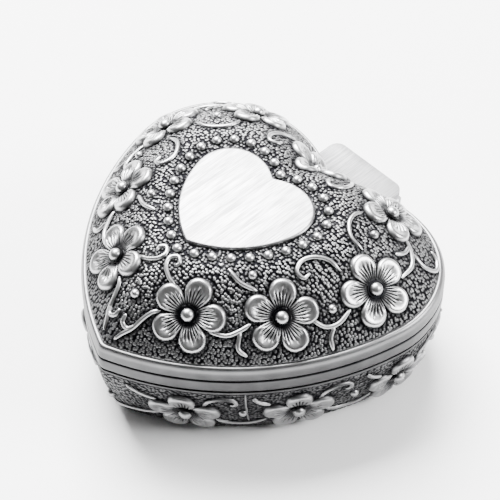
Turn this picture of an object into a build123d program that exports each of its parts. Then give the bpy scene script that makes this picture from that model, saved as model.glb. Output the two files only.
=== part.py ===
"""Heart-shaped hinged trinket box with a cast flower relief.

Units are millimetres.  +X is to the right, the heart's tip points to -Y (the
front), the notch and the hinge are at +Y (the rear), +Z is up and the box
stands on Z = 0.  Two drawing coordinates are used below and turned into part
coordinates at the end of each helper:

* plan: x = 0 is the mirror plane and y = 0 the line through the lobe centres;
* level: 0 is the nose line of the lid's rim, so the floor is at -26.

The base casting carries the rear bracket and the hinge's two ears, the lid
casting carries the flat hinge tab and the middle knuckle.
"""
from build123d import *
import math
import os

# ---------------------------------------------------------------- plan sizes
LOBE_X, LOBE_R = 19.85, 22.15      # lobe circle of the rim
SIDE_R = 67.1                      # long side arc, inner tangent to the lobe
CORNER_Y = -53.68                  # sharp corner of the two side arcs
TIP_R = 2.5                        # rounding of the front tip
SHOULDER_AT = math.radians(80.0)   # where the lobe passes into the shoulder
SHOULDER_R = 30.0
NOTCH_R = 3.5                      # hollow rounding of the notch
SCALE_Y = -13.3                    # centre of the lid's similar hearts

# -------------------------------------------------------------------- levels
FLOOR = -26.0                      # underside of the base
SEAM = -2.8                        # where the lid meets the base
WALL_TOP = -7.0                    # the tapering wall starts under the lip
WALL_FOOT = -25.2                  # and ends at the rounded bottom edge
WALL_INSET, WALL_TAPER, WALL_POWER = 0.25, 4.9, 1.6
LAND = 14.3                        # flat top of the dome
PLATE_TOP = 15.3

# --------------------------------------------------------------------- hinge
REAR_Y = 29.2                      # rear edge of the hinge tab
TAB_HALF = 10.8
TAB_TOP, TAB_UNDER = -3.8, -5.2
AXIS_Y, AXIS_Z = 27.2, -6.9
BARREL_R = 1.5
PIN_R, RUN = 0.8, 0.05
EAR_IN, EAR_OUT = 4.2, 10.5
KNUCKLE_HALF = 3.9


def hyp(p):
    """Length of a plan vector."""
    return math.hypot(p[0], p[1])


def toward(a, b, dist):
    """Point at a distance from a on the line towards b."""
    d = (b[0] - a[0], b[1] - a[1])
    k = dist / hyp(d)
    return (a[0] + d[0] * k, a[1] + d[1] * k)


def mid_arc(c, p, q):
    """Middle point of the short arc about c from p to q."""
    m = ((p[0] + q[0]) / 2, (p[1] + q[1]) / 2)
    return toward(c, m, hyp((p[0] - c[0], p[1] - c[1])))


def heart_arcs(inset, tip=TIP_R):
    """Half outline as arcs (start, middle, end), tip to notch, moved inwards."""
    lobe, corner = (LOBE_X, 0.0), (0.0, CORNER_Y)
    dx, dy = lobe[0] - corner[0], lobe[1] - corner[1]
    span = math.hypot(dx, dy)
    a = (SIDE_R ** 2 - (SIDE_R - LOBE_R) ** 2 + span ** 2) / (2 * span)
    h = math.sqrt(SIDE_R ** 2 - a ** 2)
    ux, uy = dx / span, dy / span
    side = (corner[0] + ux * a - uy * h, corner[1] + uy * a + ux * h)
    k = LOBE_R - SHOULDER_R
    shoulder = (lobe[0] + math.cos(SHOULDER_AT) * k, math.sin(SHOULDER_AT) * k)
    notch = (0.0, shoulder[1] + math.sqrt((SHOULDER_R + NOTCH_R) ** 2
                                          - shoulder[0] ** 2))
    r_side = SIDE_R - inset
    tip_c = (0.0, side[1] - math.sqrt((r_side - tip) ** 2 - side[0] ** 2))
    p0 = (0.0, tip_c[1] - tip)
    p1 = toward(side, tip_c, r_side)
    p2 = toward(side, lobe, r_side)
    p3 = (lobe[0] + math.cos(SHOULDER_AT) * (LOBE_R - inset),
          math.sin(SHOULDER_AT) * (LOBE_R - inset))
    p4 = toward(shoulder, notch, SHOULDER_R - inset)
    p5 = (0.0, notch[1] - NOTCH_R - inset)
    return [(p0, mid_arc(tip_c, p0, p1), p1),
            (p1, mid_arc(side, p1, p2), p2),
            (p2, mid_arc(lobe, p2, p3), p3),
            (p3, mid_arc(shoulder, p3, p4), p4),
            (p4, mid_arc(notch, p4, p5), p5)]


TIP_Y = heart_arcs(0.0)[0][0][1]
SHIFT_Y = -(TIP_Y + REAR_Y) / 2     # puts the box's middle over the origin


def pt(p, z):
    """Plan point and level as a part point."""
    return Vector(p[0], p[1] + SHIFT_Y, z - FLOOR)


def heart_wire(inset, z, scale=1.0, tip=TIP_R):
    """Closed heart wire, moved inwards by inset or shrunk about the centre."""
    def tr(p):
        return (p[0] * scale, SCALE_Y + (p[1] - SCALE_Y) * scale)
    arcs = [tuple(tr(p) for p in arc) for arc in heart_arcs(inset, tip)]
    edges = [Edge.make_three_point_arc(pt(a, z), pt(m, z), pt(b, z))
             for a, m, b in arcs]
    for a, m, b in reversed(arcs):
        a, m, b = [(-p[0], p[1]) for p in (a, m, b)]
        edges.append(Edge.make_three_point_arc(pt(b, z), pt(m, z), pt(a, z)))
    return Wire(edges)


def heart_prism(inset, z0, z1, scale=1.0, tip=TIP_R):
    """Straight heart prism between two levels."""
    face = Face(heart_wire(inset, z0, scale, tip))
    if face.normal_at().Z < 0:
        face = -face
    return extrude(face, amount=z1 - z0, dir=(0, 0, 1))


def block(x0, x1, y0, y1, z0, z1):
    """Box between plan and level limits."""
    return Pos((x0 + x1) / 2, (y0 + y1) / 2 + SHIFT_Y,
               (z0 + z1) / 2 - FLOOR) * Box(x1 - x0, y1 - y0, z1 - z0)


def rod(x0, x1, y, z, r):
    """Cylinder along X."""
    return Pos((x0 + x1) / 2, y + SHIFT_Y, z - FLOOR) * Rot(0, 90, 0) \
        * Cylinder(r, x1 - x0)


def side_prism(points, x0, x1):
    """Extrude a (y, level) polygon along X."""
    pts = [Vector(x0, y + SHIFT_Y, z - FLOOR) for y, z in points]
    face = Face(Wire.make_polygon(pts, close=True))
    return extrude(face, amount=x1 - x0, dir=(1, 0, 0))


# ----------------------------------------------------------------- lid dome
DOME_IN, DOME_OUT = 0.47, 0.97     # scales of the hearts at its top and foot
DOME_EDGE = 0.95                   # level of its foot
DOME_POWER = 1.6                   # fullness of its shoulder
MEAN_R = 38.0                      # mean distance of the rim from the centre


def dome_z(s):
    """Level of the lid's dome on the similar heart of scale s."""
    t = max(0.0, (s - DOME_IN) / (DOME_OUT - DOME_IN))
    return LAND - (LAND - DOME_EDGE) * t ** DOME_POWER


def dome_solid(lift):
    """Solid below the dome, its skin raised by lift along the normal."""
    wires, ds = [], 0.002
    for s in (0.97, 0.92, 0.86, 0.79, 0.71, 0.63, 0.55, 0.50, 0.47):
        slope = (dome_z(s + ds) - dome_z(s - ds)) / (2 * ds * MEAN_R)
        n = math.hypot(1.0, slope)
        wires.append(heart_wire(0.0, dome_z(s) + lift / n,
                                s - slope * lift / n / MEAN_R))
    return Solid.make_loft(wires, ruled=False)


# ---------------------------------------------------------------- base wall
def wall_inset(z):
    """Inset of the base's outer wall from the rim at a level."""
    t = (WALL_TOP - z) / (WALL_TOP - FLOOR)
    return WALL_INSET + WALL_TAPER * t ** WALL_POWER


def wall_tip(inset):
    """Radius of the wall's front tip, which widens towards the floor."""
    return 2.8 + 0.25 * inset


def wall_solid(lift):
    """Solid of the base's tapering wall, its skin raised by lift."""
    wires = []
    for z in (WALL_TOP, -10.5, -14.0, -18.0, -22.0, WALL_FOOT):
        d = wall_inset(z)
        wires.append(heart_wire(d - lift, z, tip=wall_tip(d)))
    return Solid.make_loft(wires, ruled=False)


# ------------------------------------------------------------------- flowers
FLOWER_R, BASE_FLOWER_R = 8.25, 8.0    # reach of a lid and a base flower
PETAL_HALF = (3.75, 3.05)              # half length and half width of a petal
PETAL_AT = FLOWER_R - PETAL_HALF[0]    # its middle, from the flower's middle
EYE_R, BEAD_IN_EYE = 1.9, 1.45         # hub of the petals and its bead
CUTTER = 6.0                           # depth of the prism cut by two skins
LID_FLOWERS = [(11.2, -38.1, 0.35), (25.0, -24.2, 0.15), (33.0, -4.4, -0.2),
               (21.0, 13.0, 0.5), (0.0, 11.0, math.pi / 2)]
BASE_FLOWERS = [(15.4, -43.6, -17.0), (33.0, -25.8, -17.0),
                (41.0, -3.0, -17.0), (32.0, 18.0, -17.0)]


def petals(at, normal, turn, radius):
    """Five-petal prism through a surface point, along its normal."""
    size = radius / FLOWER_R
    plane = Plane(origin=at, z_dir=normal)
    out = Cylinder(EYE_R * size, CUTTER)
    for k in range(5):
        a = turn + 2 * math.pi * k / 5
        leaf = Face(Wire.make_ellipse(PETAL_HALF[0] * size,
                                      PETAL_HALF[1] * size, Plane.XY))
        leaf = Rot(0, 0, math.degrees(a)) * Pos(PETAL_AT * size, 0,
                                                -CUTTER / 2) * leaf
        out = out + extrude(leaf, amount=CUTTER, dir=(0, 0, 1))
    return plane.location * out


def flower(at, normal, turn, radius, low, high, lift):
    """Cast flower between two skins, with the bead in its middle."""
    body = (petals(at, normal, turn, radius) & high) - low
    n = Vector(*normal).normalized()
    bead = Pos(*(Vector(*at) + n * lift)) * Sphere(
        BEAD_IN_EYE * radius / FLOWER_R)
    body = body + (bead - low)
    return body


def dome_frame(x, y):
    """Surface point and normal of the dome under a plan point."""
    s = math.hypot(x, y - SCALE_Y) / outline_radius(
        math.atan2(x, -(y - SCALE_Y)))

    def level(px, py):
        a = math.atan2(px, -(py - SCALE_Y))
        return dome_z(math.hypot(px, py - SCALE_Y) / outline_radius(a))
    e = 0.2
    zx = (level(x + e, y) - level(x - e, y)) / (2 * e)
    zy = (level(x, y + e) - level(x, y - e)) / (2 * e)
    p = pt((x, y), dome_z(s))
    return (p.X, p.Y, p.Z), (-zx, -zy, 1.0)


def outline_points(inset, tip=TIP_R, steps=24):
    """Outline of the right half as a list of plan points."""
    pts = []
    for a, m, b in heart_arcs(inset, tip):
        edge = Edge.make_three_point_arc(Vector(*a, 0), Vector(*m, 0),
                                         Vector(*b, 0))
        for i in range(steps):
            v = edge.position_at(i / steps)
            pts.append((v.X, v.Y))
    pts.append(heart_arcs(inset, tip)[-1][2])
    return pts


RIM = outline_points(0.0)
RIM_POLAR = [(math.atan2(x, -(y - SCALE_Y)), math.hypot(x, y - SCALE_Y))
             for x, y in RIM]


def outline_radius(ang):
    """Distance from the scale centre to the rim in a direction."""
    ang = abs(ang)
    for (a0, r0), (a1, r1) in zip(RIM_POLAR, RIM_POLAR[1:]):
        if a0 <= ang <= a1:
            return r0 + (r1 - r0) * (ang - a0) / max(a1 - a0, 1e-9)
    return RIM_POLAR[-1][1]


def wall_frame(x, y, z):
    """Point on the base wall nearest to a plan point, and its normal."""
    d = wall_inset(z)
    pts = outline_points(d, tip=wall_tip(d))
    i = min(range(1, len(pts) - 1),
            key=lambda k: math.hypot(pts[k][0] - x, pts[k][1] - y))
    tx, ty = pts[i + 1][0] - pts[i - 1][0], pts[i + 1][1] - pts[i - 1][1]
    n = math.hypot(tx, ty)
    slope = (wall_inset(z - 0.1) - wall_inset(z + 0.1)) / 0.2
    p = pt(pts[i], z)
    return (p.X, p.Y, p.Z), (ty / n, -tx / n, -slope)


# -------------------------------------------------------------------- pieces
def make_lid_shell():
    """Lid casting: rim, hollow dome, hinge tab, web and middle knuckle."""
    nose = Solid.make_loft([heart_wire(0, -0.2), heart_wire(0, 0.30, 0.9960),
                            heart_wire(0, 0.72, 0.9860),
                            heart_wire(0, 0.95, 0.9700)], ruled=True)
    body = heart_prism(0.0, SEAM, -0.2) + nose + dome_solid(0.0)
    inner = []
    for s, z in ((0.945, SEAM - 1.0), (0.940, -0.6), (0.905, 0.3),
                 (0.84, 3.4), (0.76, 6.7), (0.67, 9.5), (0.58, 11.4),
                 (0.50, 12.35), (0.45, 12.5)):
        inner.append(heart_wire(0.0, z, s))
    hollow = Solid.make_loft(inner, ruled=False)
    body = body - hollow
    web = (heart_prism(0.0, TAB_UNDER, SEAM)
           & block(-TAB_HALF, TAB_HALF, 5.0, 25.0, -9.0, 1.0))
    tab = block(-TAB_HALF, TAB_HALF, 10.0, REAR_Y, TAB_UNDER, TAB_TOP)
    tab = fillet(tab.edges().filter_by(Axis.Z).sort_by(Axis.Y)[-2:], 2.6)
    knuckle = rod(-KNUCKLE_HALF, KNUCKLE_HALF, AXIS_Y, AXIS_Z, BARREL_R) \
        + block(-KNUCKLE_HALF, KNUCKLE_HALF, AXIS_Y - 1.1, AXIS_Y + 1.1,
                AXIS_Z, TAB_UNDER + 0.3)
    tongue = (web + tab) - heart_prism(2.3, -9.0, 0.0) + knuckle
    tongue = tongue - rod(-6, 6, AXIS_Y, AXIS_Z, PIN_R + RUN)
    return body + tongue


def make_base_shell():
    """Base casting: bowl, rim band with its groove, bracket and two ears."""
    foot = wall_inset(WALL_FOOT)
    body = wall_solid(0.0) + heart_prism(foot, WALL_FOOT - 0.4, WALL_FOOT,
                                         tip=4.1)
    body = body + heart_prism(foot + 0.5, FLOOR, WALL_FOOT - 0.4, tip=4.1)
    body = body + heart_prism(0.12, -7.3, -6.7)
    body = body + heart_prism(0.6, -7.4, -6.0)
    body = body + heart_prism(0.0, -6.3, SEAM - 0.25)
    body = body + heart_prism(0.25, SEAM - 0.3, SEAM)
    y, z = AXIS_Y, AXIS_Z
    bracket = side_prism([(y - 13.5, z + 0.4), (y + 0.6, z + 0.4),
                          (y + 1.4, z - 0.4), (y + 1.4, z - 2.4),
                          (y - 1.2, z - 4.4), (y - 9.0, z - 7.4),
                          (y - 14.5, z - 7.4)], -EAR_OUT, EAR_OUT)
    ears = rod(-EAR_OUT, EAR_OUT, y, z, BARREL_R)
    body = body + bracket + ears
    hollow = Solid.make_loft(
        [heart_wire(2.4, SEAM + 1.0), heart_wire(2.5, -8.0),
         heart_wire(4.2, -17.0, tip=3.2), heart_wire(6.8, -24.2, tip=4.0)],
        ruled=True)
    body = body - hollow
    body = body - block(-TAB_HALF - 0.3, TAB_HALF + 0.3, 8.0, 26.0,
                        TAB_UNDER - 0.3, 2.0)
    body = body - rod(-EAR_IN, EAR_IN, y, z, 2.35)
    body = body - block(-EAR_IN, EAR_IN, y, y + 6, z - 2.35, z + 3)
    body = body - block(-EAR_IN, EAR_IN, y - 2.35, y + 6, z, z + 3)
    body = body - rod(-20, 20, y, z, PIN_R)
    return body


def make_linings():
    """Velvet wall strip and floor pad of the base, and the lid's lining."""
    outer = Solid.make_loft(
        [heart_wire(2.58, -6.2), heart_wire(2.62, -8.0),
         heart_wire(4.32, -17.0, tip=3.2), heart_wire(6.78, -23.8, tip=4.0)],
        ruled=True)
    inner = Solid.make_loft(
        [heart_wire(3.45, -5.0), heart_wire(3.5, -8.0),
         heart_wire(5.2, -17.0, tip=3.0), heart_wire(7.9, -25.0, tip=3.6)],
        ruled=True)
    wall = outer - inner
    pad = Solid.make_loft([heart_wire(7.9, -24.2, tip=3.4),
                           heart_wire(7.85, -22.9, tip=3.4),
                           heart_wire(8.8, -22.2, tip=3.4)], ruled=True)
    lid_out, lid_in = [], []
    for s, z in ((0.925, 0.25), (0.895, 0.35), (0.835, 3.3), (0.755, 6.55),
                 (0.665, 9.3), (0.575, 11.2), (0.495, 12.15), (0.44, 12.3)):
        lid_out.append(heart_wire(0.0, z, s))
        lid_in.append(heart_wire(0.0, z - 0.9, s - 0.012))
    lining = Solid.make_loft(lid_out[1:], ruled=False)
    hollow = Solid.make_loft(lid_in[1:], ruled=False)
    return wall, pad, lining - hollow


def make_plate():
    """Polished plain heart plate on the dome's land."""
    return Solid.make_loft([heart_wire(0, LAND, 0.368),
                            heart_wire(0, PLATE_TOP - 0.35, 0.366),
                            heart_wire(0, PLATE_TOP - 0.08, 0.356),
                            heart_wire(0, PLATE_TOP, 0.340)], ruled=True)


BEAD_SCALE, BEAD_R, BEADS_PER_SIDE = 0.432, 1.12, 14


def evenly(points, count):
    """Points at equal steps along a polyline, both ends included."""
    runs = [math.dist(a, b) for a, b in zip(points, points[1:])]
    total, out = sum(runs), []
    for k in range(count + 1):
        left, i = total * k / count, 0
        while i < len(runs) - 1 and left > runs[i]:
            left, i = left - runs[i], i + 1
        out.append(toward(points[i], points[i + 1], min(left, runs[i])))
    return out


def make_beads():
    """Border of half-round beads standing on the dome's land."""
    curve = [(x * BEAD_SCALE, SCALE_Y + (y - SCALE_Y) * BEAD_SCALE)
             for x, y in RIM]
    half = evenly(curve, BEADS_PER_SIDE)
    spots = half + [(-x, y) for x, y in half[1:-1]]
    out = []
    for spot in spots:
        p = pt(spot, LAND)
        ball = Pos(p.X, p.Y, p.Z) * Sphere(BEAD_R)
        below = Pos(p.X, p.Y, p.Z - BEAD_R) * Box(4 * BEAD_R, 4 * BEAD_R,
                                                  2 * BEAD_R)
        out.append(ball - below)
    return Compound(children=[bead.solids()[0] for bead in out])


def make_flowers():
    """Nine lid flowers and eight base flowers, the left ones mirrored."""
    low, high = dome_solid(0.04), dome_solid(1.0)
    out = {}
    n = 1
    for x, y, turn in LID_FLOWERS:
        at, normal = dome_frame(x, y)
        right = flower(at, normal, turn, FLOWER_R, low, high, 0.4)
        for sx in ((1, -1) if x else (1,)):
            out[f"lid_flower_{n}"] = right if sx > 0 else mirror(
                right, about=Plane.YZ)
            n += 1
    low, high = wall_solid(0.04), wall_solid(0.9)
    n = 1
    for x, y, z in BASE_FLOWERS:
        at, normal = wall_frame(x, y, z)
        right = flower(at, normal, math.pi / 2, BASE_FLOWER_R, low, high, 0.55)
        for sx in (1, -1):
            out[f"base_flower_{n}"] = right if sx > 0 else mirror(
                right, about=Plane.YZ)
            n += 1
    return out


def main():
    """Build every piece and write one STEP file each."""
    os.makedirs("parts", exist_ok=True)
    parts = {"lid_shell": make_lid_shell(), "base_shell": make_base_shell()}
    wall, pad, lining = make_linings()
    parts.update(base_lining=wall, floor_pad=pad, lid_lining=lining,
                 heart_plate=make_plate(), bead_border=make_beads(),
                 hinge_pin=rod(-EAR_OUT, EAR_OUT, AXIS_Y, AXIS_Z, PIN_R))
    parts.update(make_flowers())
    for name, shape in parts.items():
        export_step(shape, f"parts/{name}.step")
        bb = shape.bounding_box()
        print(f"{name:16s} solids {len(shape.solids())} volume "
              f"{shape.volume:9.1f}  {tuple(round(v, 2) for v in bb.min)} "
              f"{tuple(round(v, 2) for v in bb.max)}")


if __name__ == "__main__":
    main()
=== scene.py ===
"""Looks of a cast, heart-shaped trinket box with a hinged lid.

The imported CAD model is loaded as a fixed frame.  The castings, their pebbled
ground, the flower relief, the bead border, the polished plate and the velvet
linings are modelled here around it.  Plan sizes and levels are in millimetres:
plan y = 0 is the line through the lobe centres and level 0 is the nose line of
the lid's rim.  Every mesh ends up in metres in the CAD's own frame.
"""

import logging
import math
from contextlib import contextmanager
from dataclasses import dataclass, field
from enum import Enum
from functools import lru_cache
from typing import Iterator, Optional, Sequence

import bpy
import numpy as np
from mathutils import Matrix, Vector
from mathutils.kdtree import KDTree

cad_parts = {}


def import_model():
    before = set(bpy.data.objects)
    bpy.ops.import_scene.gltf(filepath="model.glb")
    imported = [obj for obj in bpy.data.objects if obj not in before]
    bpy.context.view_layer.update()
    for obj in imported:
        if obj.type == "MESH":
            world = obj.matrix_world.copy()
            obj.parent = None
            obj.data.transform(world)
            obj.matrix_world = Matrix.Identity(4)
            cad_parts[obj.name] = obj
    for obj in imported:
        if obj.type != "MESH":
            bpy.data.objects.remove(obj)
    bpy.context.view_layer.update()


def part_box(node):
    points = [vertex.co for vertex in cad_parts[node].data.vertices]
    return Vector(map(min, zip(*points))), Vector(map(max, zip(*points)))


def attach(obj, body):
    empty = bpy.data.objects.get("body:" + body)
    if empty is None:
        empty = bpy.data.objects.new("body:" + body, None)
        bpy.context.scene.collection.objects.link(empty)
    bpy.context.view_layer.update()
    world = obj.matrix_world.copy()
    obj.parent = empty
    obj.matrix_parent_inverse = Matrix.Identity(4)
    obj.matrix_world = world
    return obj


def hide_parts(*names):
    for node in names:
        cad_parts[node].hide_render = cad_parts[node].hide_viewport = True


LOG = logging.getLogger("trinket_box")
MM = 0.001
WELD = 2e-7  # metres, so only points that coincide are merged
FINE = 1200  # points of a ring that is measured and not shown
Points = np.ndarray
Route = Sequence[tuple[float, float]]


class Slot(Enum):
    """Material slots."""

    CAST = "cast_metal"
    BRIGHT = "bright_metal"
    PIN = "pin_steel"
    VELVET = "velvet"


class Body(Enum):
    """Rigid bodies of the box."""

    BASE = "base"
    LID = "lid"


# --------------------------------------------------------------- mesh helpers
def deselect() -> None:
    """Clear the object selection."""
    bpy.ops.object.select_all(action="DESELECT")


def activate(obj: bpy.types.Object) -> None:
    """Select one object alone and make it active."""
    deselect()
    obj.select_set(True)
    bpy.context.view_layer.objects.active = obj


@contextmanager
def editing(obj: bpy.types.Object) -> Iterator[None]:
    """Enter edit mode on an object with everything selected, and leave it."""
    activate(obj)
    bpy.ops.object.mode_set(mode="EDIT")
    bpy.ops.mesh.select_all(action="SELECT")
    yield
    bpy.ops.object.mode_set(mode="OBJECT")


def coordinates(obj: bpy.types.Object) -> Points:
    """Vertex places of a mesh object.

    Args:
        obj: The mesh object.

    Returns:
        The places, one row each.
    """
    co = np.empty(len(obj.data.vertices) * 3)
    obj.data.vertices.foreach_get("co", co)
    return co.reshape(-1, 3)


def reshape(obj: bpy.types.Object, places: Points) -> None:
    """Move a mesh object's vertices to new places."""
    obj.data.vertices.foreach_set("co", np.ascontiguousarray(places, float).ravel())
    obj.data.update()


def paint(obj: bpy.types.Object, name: str, values: Points) -> None:
    """Store one number, or one vector, for each vertex of a mesh.

    Args:
        obj: The mesh object.
        name: Name of the attribute.
        values: Numbers in a row, or vectors in rows.
    """
    kind, key = ("FLOAT_VECTOR", "vector") if values.ndim == 2 else ("FLOAT", "value")
    attribute = obj.data.attributes.get(name) or obj.data.attributes.new(name, kind, "POINT")
    attribute.data.foreach_set(key, np.ascontiguousarray(values, np.float32).ravel())


def painted(obj: bpy.types.Object, name: str) -> Points:
    """Numbers stored under a name for the vertices of a mesh.

    Args:
        obj: The mesh object.
        name: Name of the attribute.

    Returns:
        One number for each vertex.
    """
    values = np.empty(len(obj.data.vertices), np.float32)
    obj.data.attributes[name].data.foreach_get("value", values)
    return values


def apply_modifier(obj: bpy.types.Object, modifier: bpy.types.Modifier) -> None:
    """Apply one modifier to its object."""
    activate(obj)
    bpy.ops.object.modifier_apply(modifier=modifier.name)


def smooth(obj: bpy.types.Object, degrees: float = 180.0) -> None:
    """Shade an object smooth, with edges sharper than an angle kept."""
    activate(obj)
    bpy.ops.object.shade_smooth_by_angle(angle=math.radians(degrees))


def joined(name: str, objects: Sequence[bpy.types.Object]) -> bpy.types.Object:
    """Join mesh objects into one and name it.

    Args:
        name: Name of the result.
        objects: The mesh objects.

    Returns:
        The joined object.
    """
    activate(objects[0])
    for obj in objects:
        obj.select_set(True)
    if len(objects) > 1:
        bpy.ops.object.join()
    result = bpy.context.view_layer.objects.active
    result.name = result.data.name = name
    return result


def duplicate(obj: bpy.types.Object, name: str) -> bpy.types.Object:
    """Copy an object together with its mesh.

    Args:
        obj: The object to copy.
        name: Name of the copy.

    Returns:
        The copy.
    """
    copy = obj.copy()
    copy.data = obj.data.copy()
    copy.name = copy.data.name = name
    bpy.context.scene.collection.objects.link(copy)
    return copy


def discard(obj: bpy.types.Object) -> None:
    """Remove a helper object."""
    bpy.data.objects.remove(obj, do_unlink=True)


def new_grid(name: str, places: Points) -> bpy.types.Object:
    """Grid whose vertices stand at given places.

    Args:
        name: Name of the new object.
        places: Places by row, by column, by axis.

    Returns:
        The open mesh object.
    """
    rows, columns = places.shape[:2]
    bpy.ops.mesh.primitive_grid_add(x_subdivisions=columns - 1, y_subdivisions=rows - 1, size=2 * MM)
    obj = bpy.context.object
    obj.name = obj.data.name = name
    reshape(obj, places.reshape(-1, 3))
    return obj


def close_up(obj: bpy.types.Object, weld: float = WELD, caps: bool = True) -> None:
    """Merge coinciding points, cap the openings and turn the faces outwards.

    Args:
        obj: The mesh object.
        weld: Distance under which points are merged, in the mesh's unit.
        caps: The openings get a face.
    """
    with editing(obj):
        bpy.ops.mesh.remove_doubles(threshold=weld)
        if caps:
            bpy.ops.mesh.fill_holes(sides=0)
        bpy.ops.mesh.normals_make_consistent(inside=False)


def rolled_sheet(name: str, rings: Points, loop: bool = False) -> bpy.types.Object:
    """Roll a grid into a skin through rings of points.

    Args:
        name: Name of the new object.
        rings: Places in metres, by ring, by point, by axis.
        loop: The last ring passes into the first; otherwise both ends are capped.

    Returns:
        The closed mesh object, its faces pointing outwards.
    """
    sheet = np.concatenate([rings, rings[:, :1]], axis=1)
    if loop:
        sheet = np.concatenate([sheet, sheet[:1]], axis=0)
    obj = new_grid(name, sheet)
    close_up(obj, caps=not loop)
    return obj


def half_skin(name: str, top: Points, under: Points, mould: Points, mask: Points) -> bpy.types.Object:
    """Closed skin of one half of a ground, flat where the halves meet.

    Args:
        name: Name of the new object.
        top: Places of the visible face in metres, by row, by column, by axis.
        under: Places of the hidden face, in rows that lead back to the first.
        mould: Unrolled places of the visible face in metres, laid out like top.
        mask: Where the ground is pressed, from 0 to 1, one number for each row.

    Returns:
        The mesh object with the attributes mould and field.
    """
    columns = top.shape[1]
    obj = new_grid(name, np.concatenate([top, under, top[:1]]))
    flat = np.concatenate([mould, np.repeat(mould[-1:], len(under), axis=0), mould[:1]])
    paint(obj, "mould", flat.reshape(-1, 3))
    pressed = np.concatenate([mask, np.zeros(len(under)), mask[:1]])
    paint(obj, "field", np.repeat(pressed, columns))
    close_up(obj)
    return obj


def smooth_route(route: Route, steps: int) -> Points:
    """Smooth curve through given points.

    Args:
        route: Points that the curve passes through.
        steps: Number of steps between two points.

    Returns:
        The curve's points, one row each.
    """
    given = np.array(route, float)
    padded = np.vstack([2 * given[0] - given[1], given, 2 * given[-1] - given[-2]])
    t = np.linspace(0, 1, steps, endpoint=False)[:, None]
    spans = []
    for p0, p1, p2, p3 in zip(padded, padded[1:], padded[2:], padded[3:]):
        spans.append(0.5 * (2 * p1 + (p2 - p0) * t + (2 * p0 - 5 * p1 + 4 * p2 - p3) * t ** 2
                            + (3 * p1 - p0 - 3 * p2 + p3) * t ** 3))
    return np.vstack(spans + [given[-1:]])


def ease(low: float, high: float, value: Points) -> Points:
    """Smooth step from 0 at low to 1 at high."""
    t = np.clip((value - low) / (high - low), 0.0, 1.0)
    return t * t * (3.0 - 2.0 * t)


def along_ring(ring: Points) -> Points:
    """Distances along a closed ring of points, from its first point back to it.

    Args:
        ring: The points, one row each, without the first one repeated.

    Returns:
        One distance more than the ring has points.
    """
    step = np.linalg.norm(np.diff(np.vstack([ring, ring[:1]]), axis=0), axis=1)
    return np.concatenate([[0.0], np.cumsum(step)])


def bearing(v: Points) -> float:
    """Angle of a plan vector from +X."""
    return math.atan2(v[1], v[0])


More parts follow.
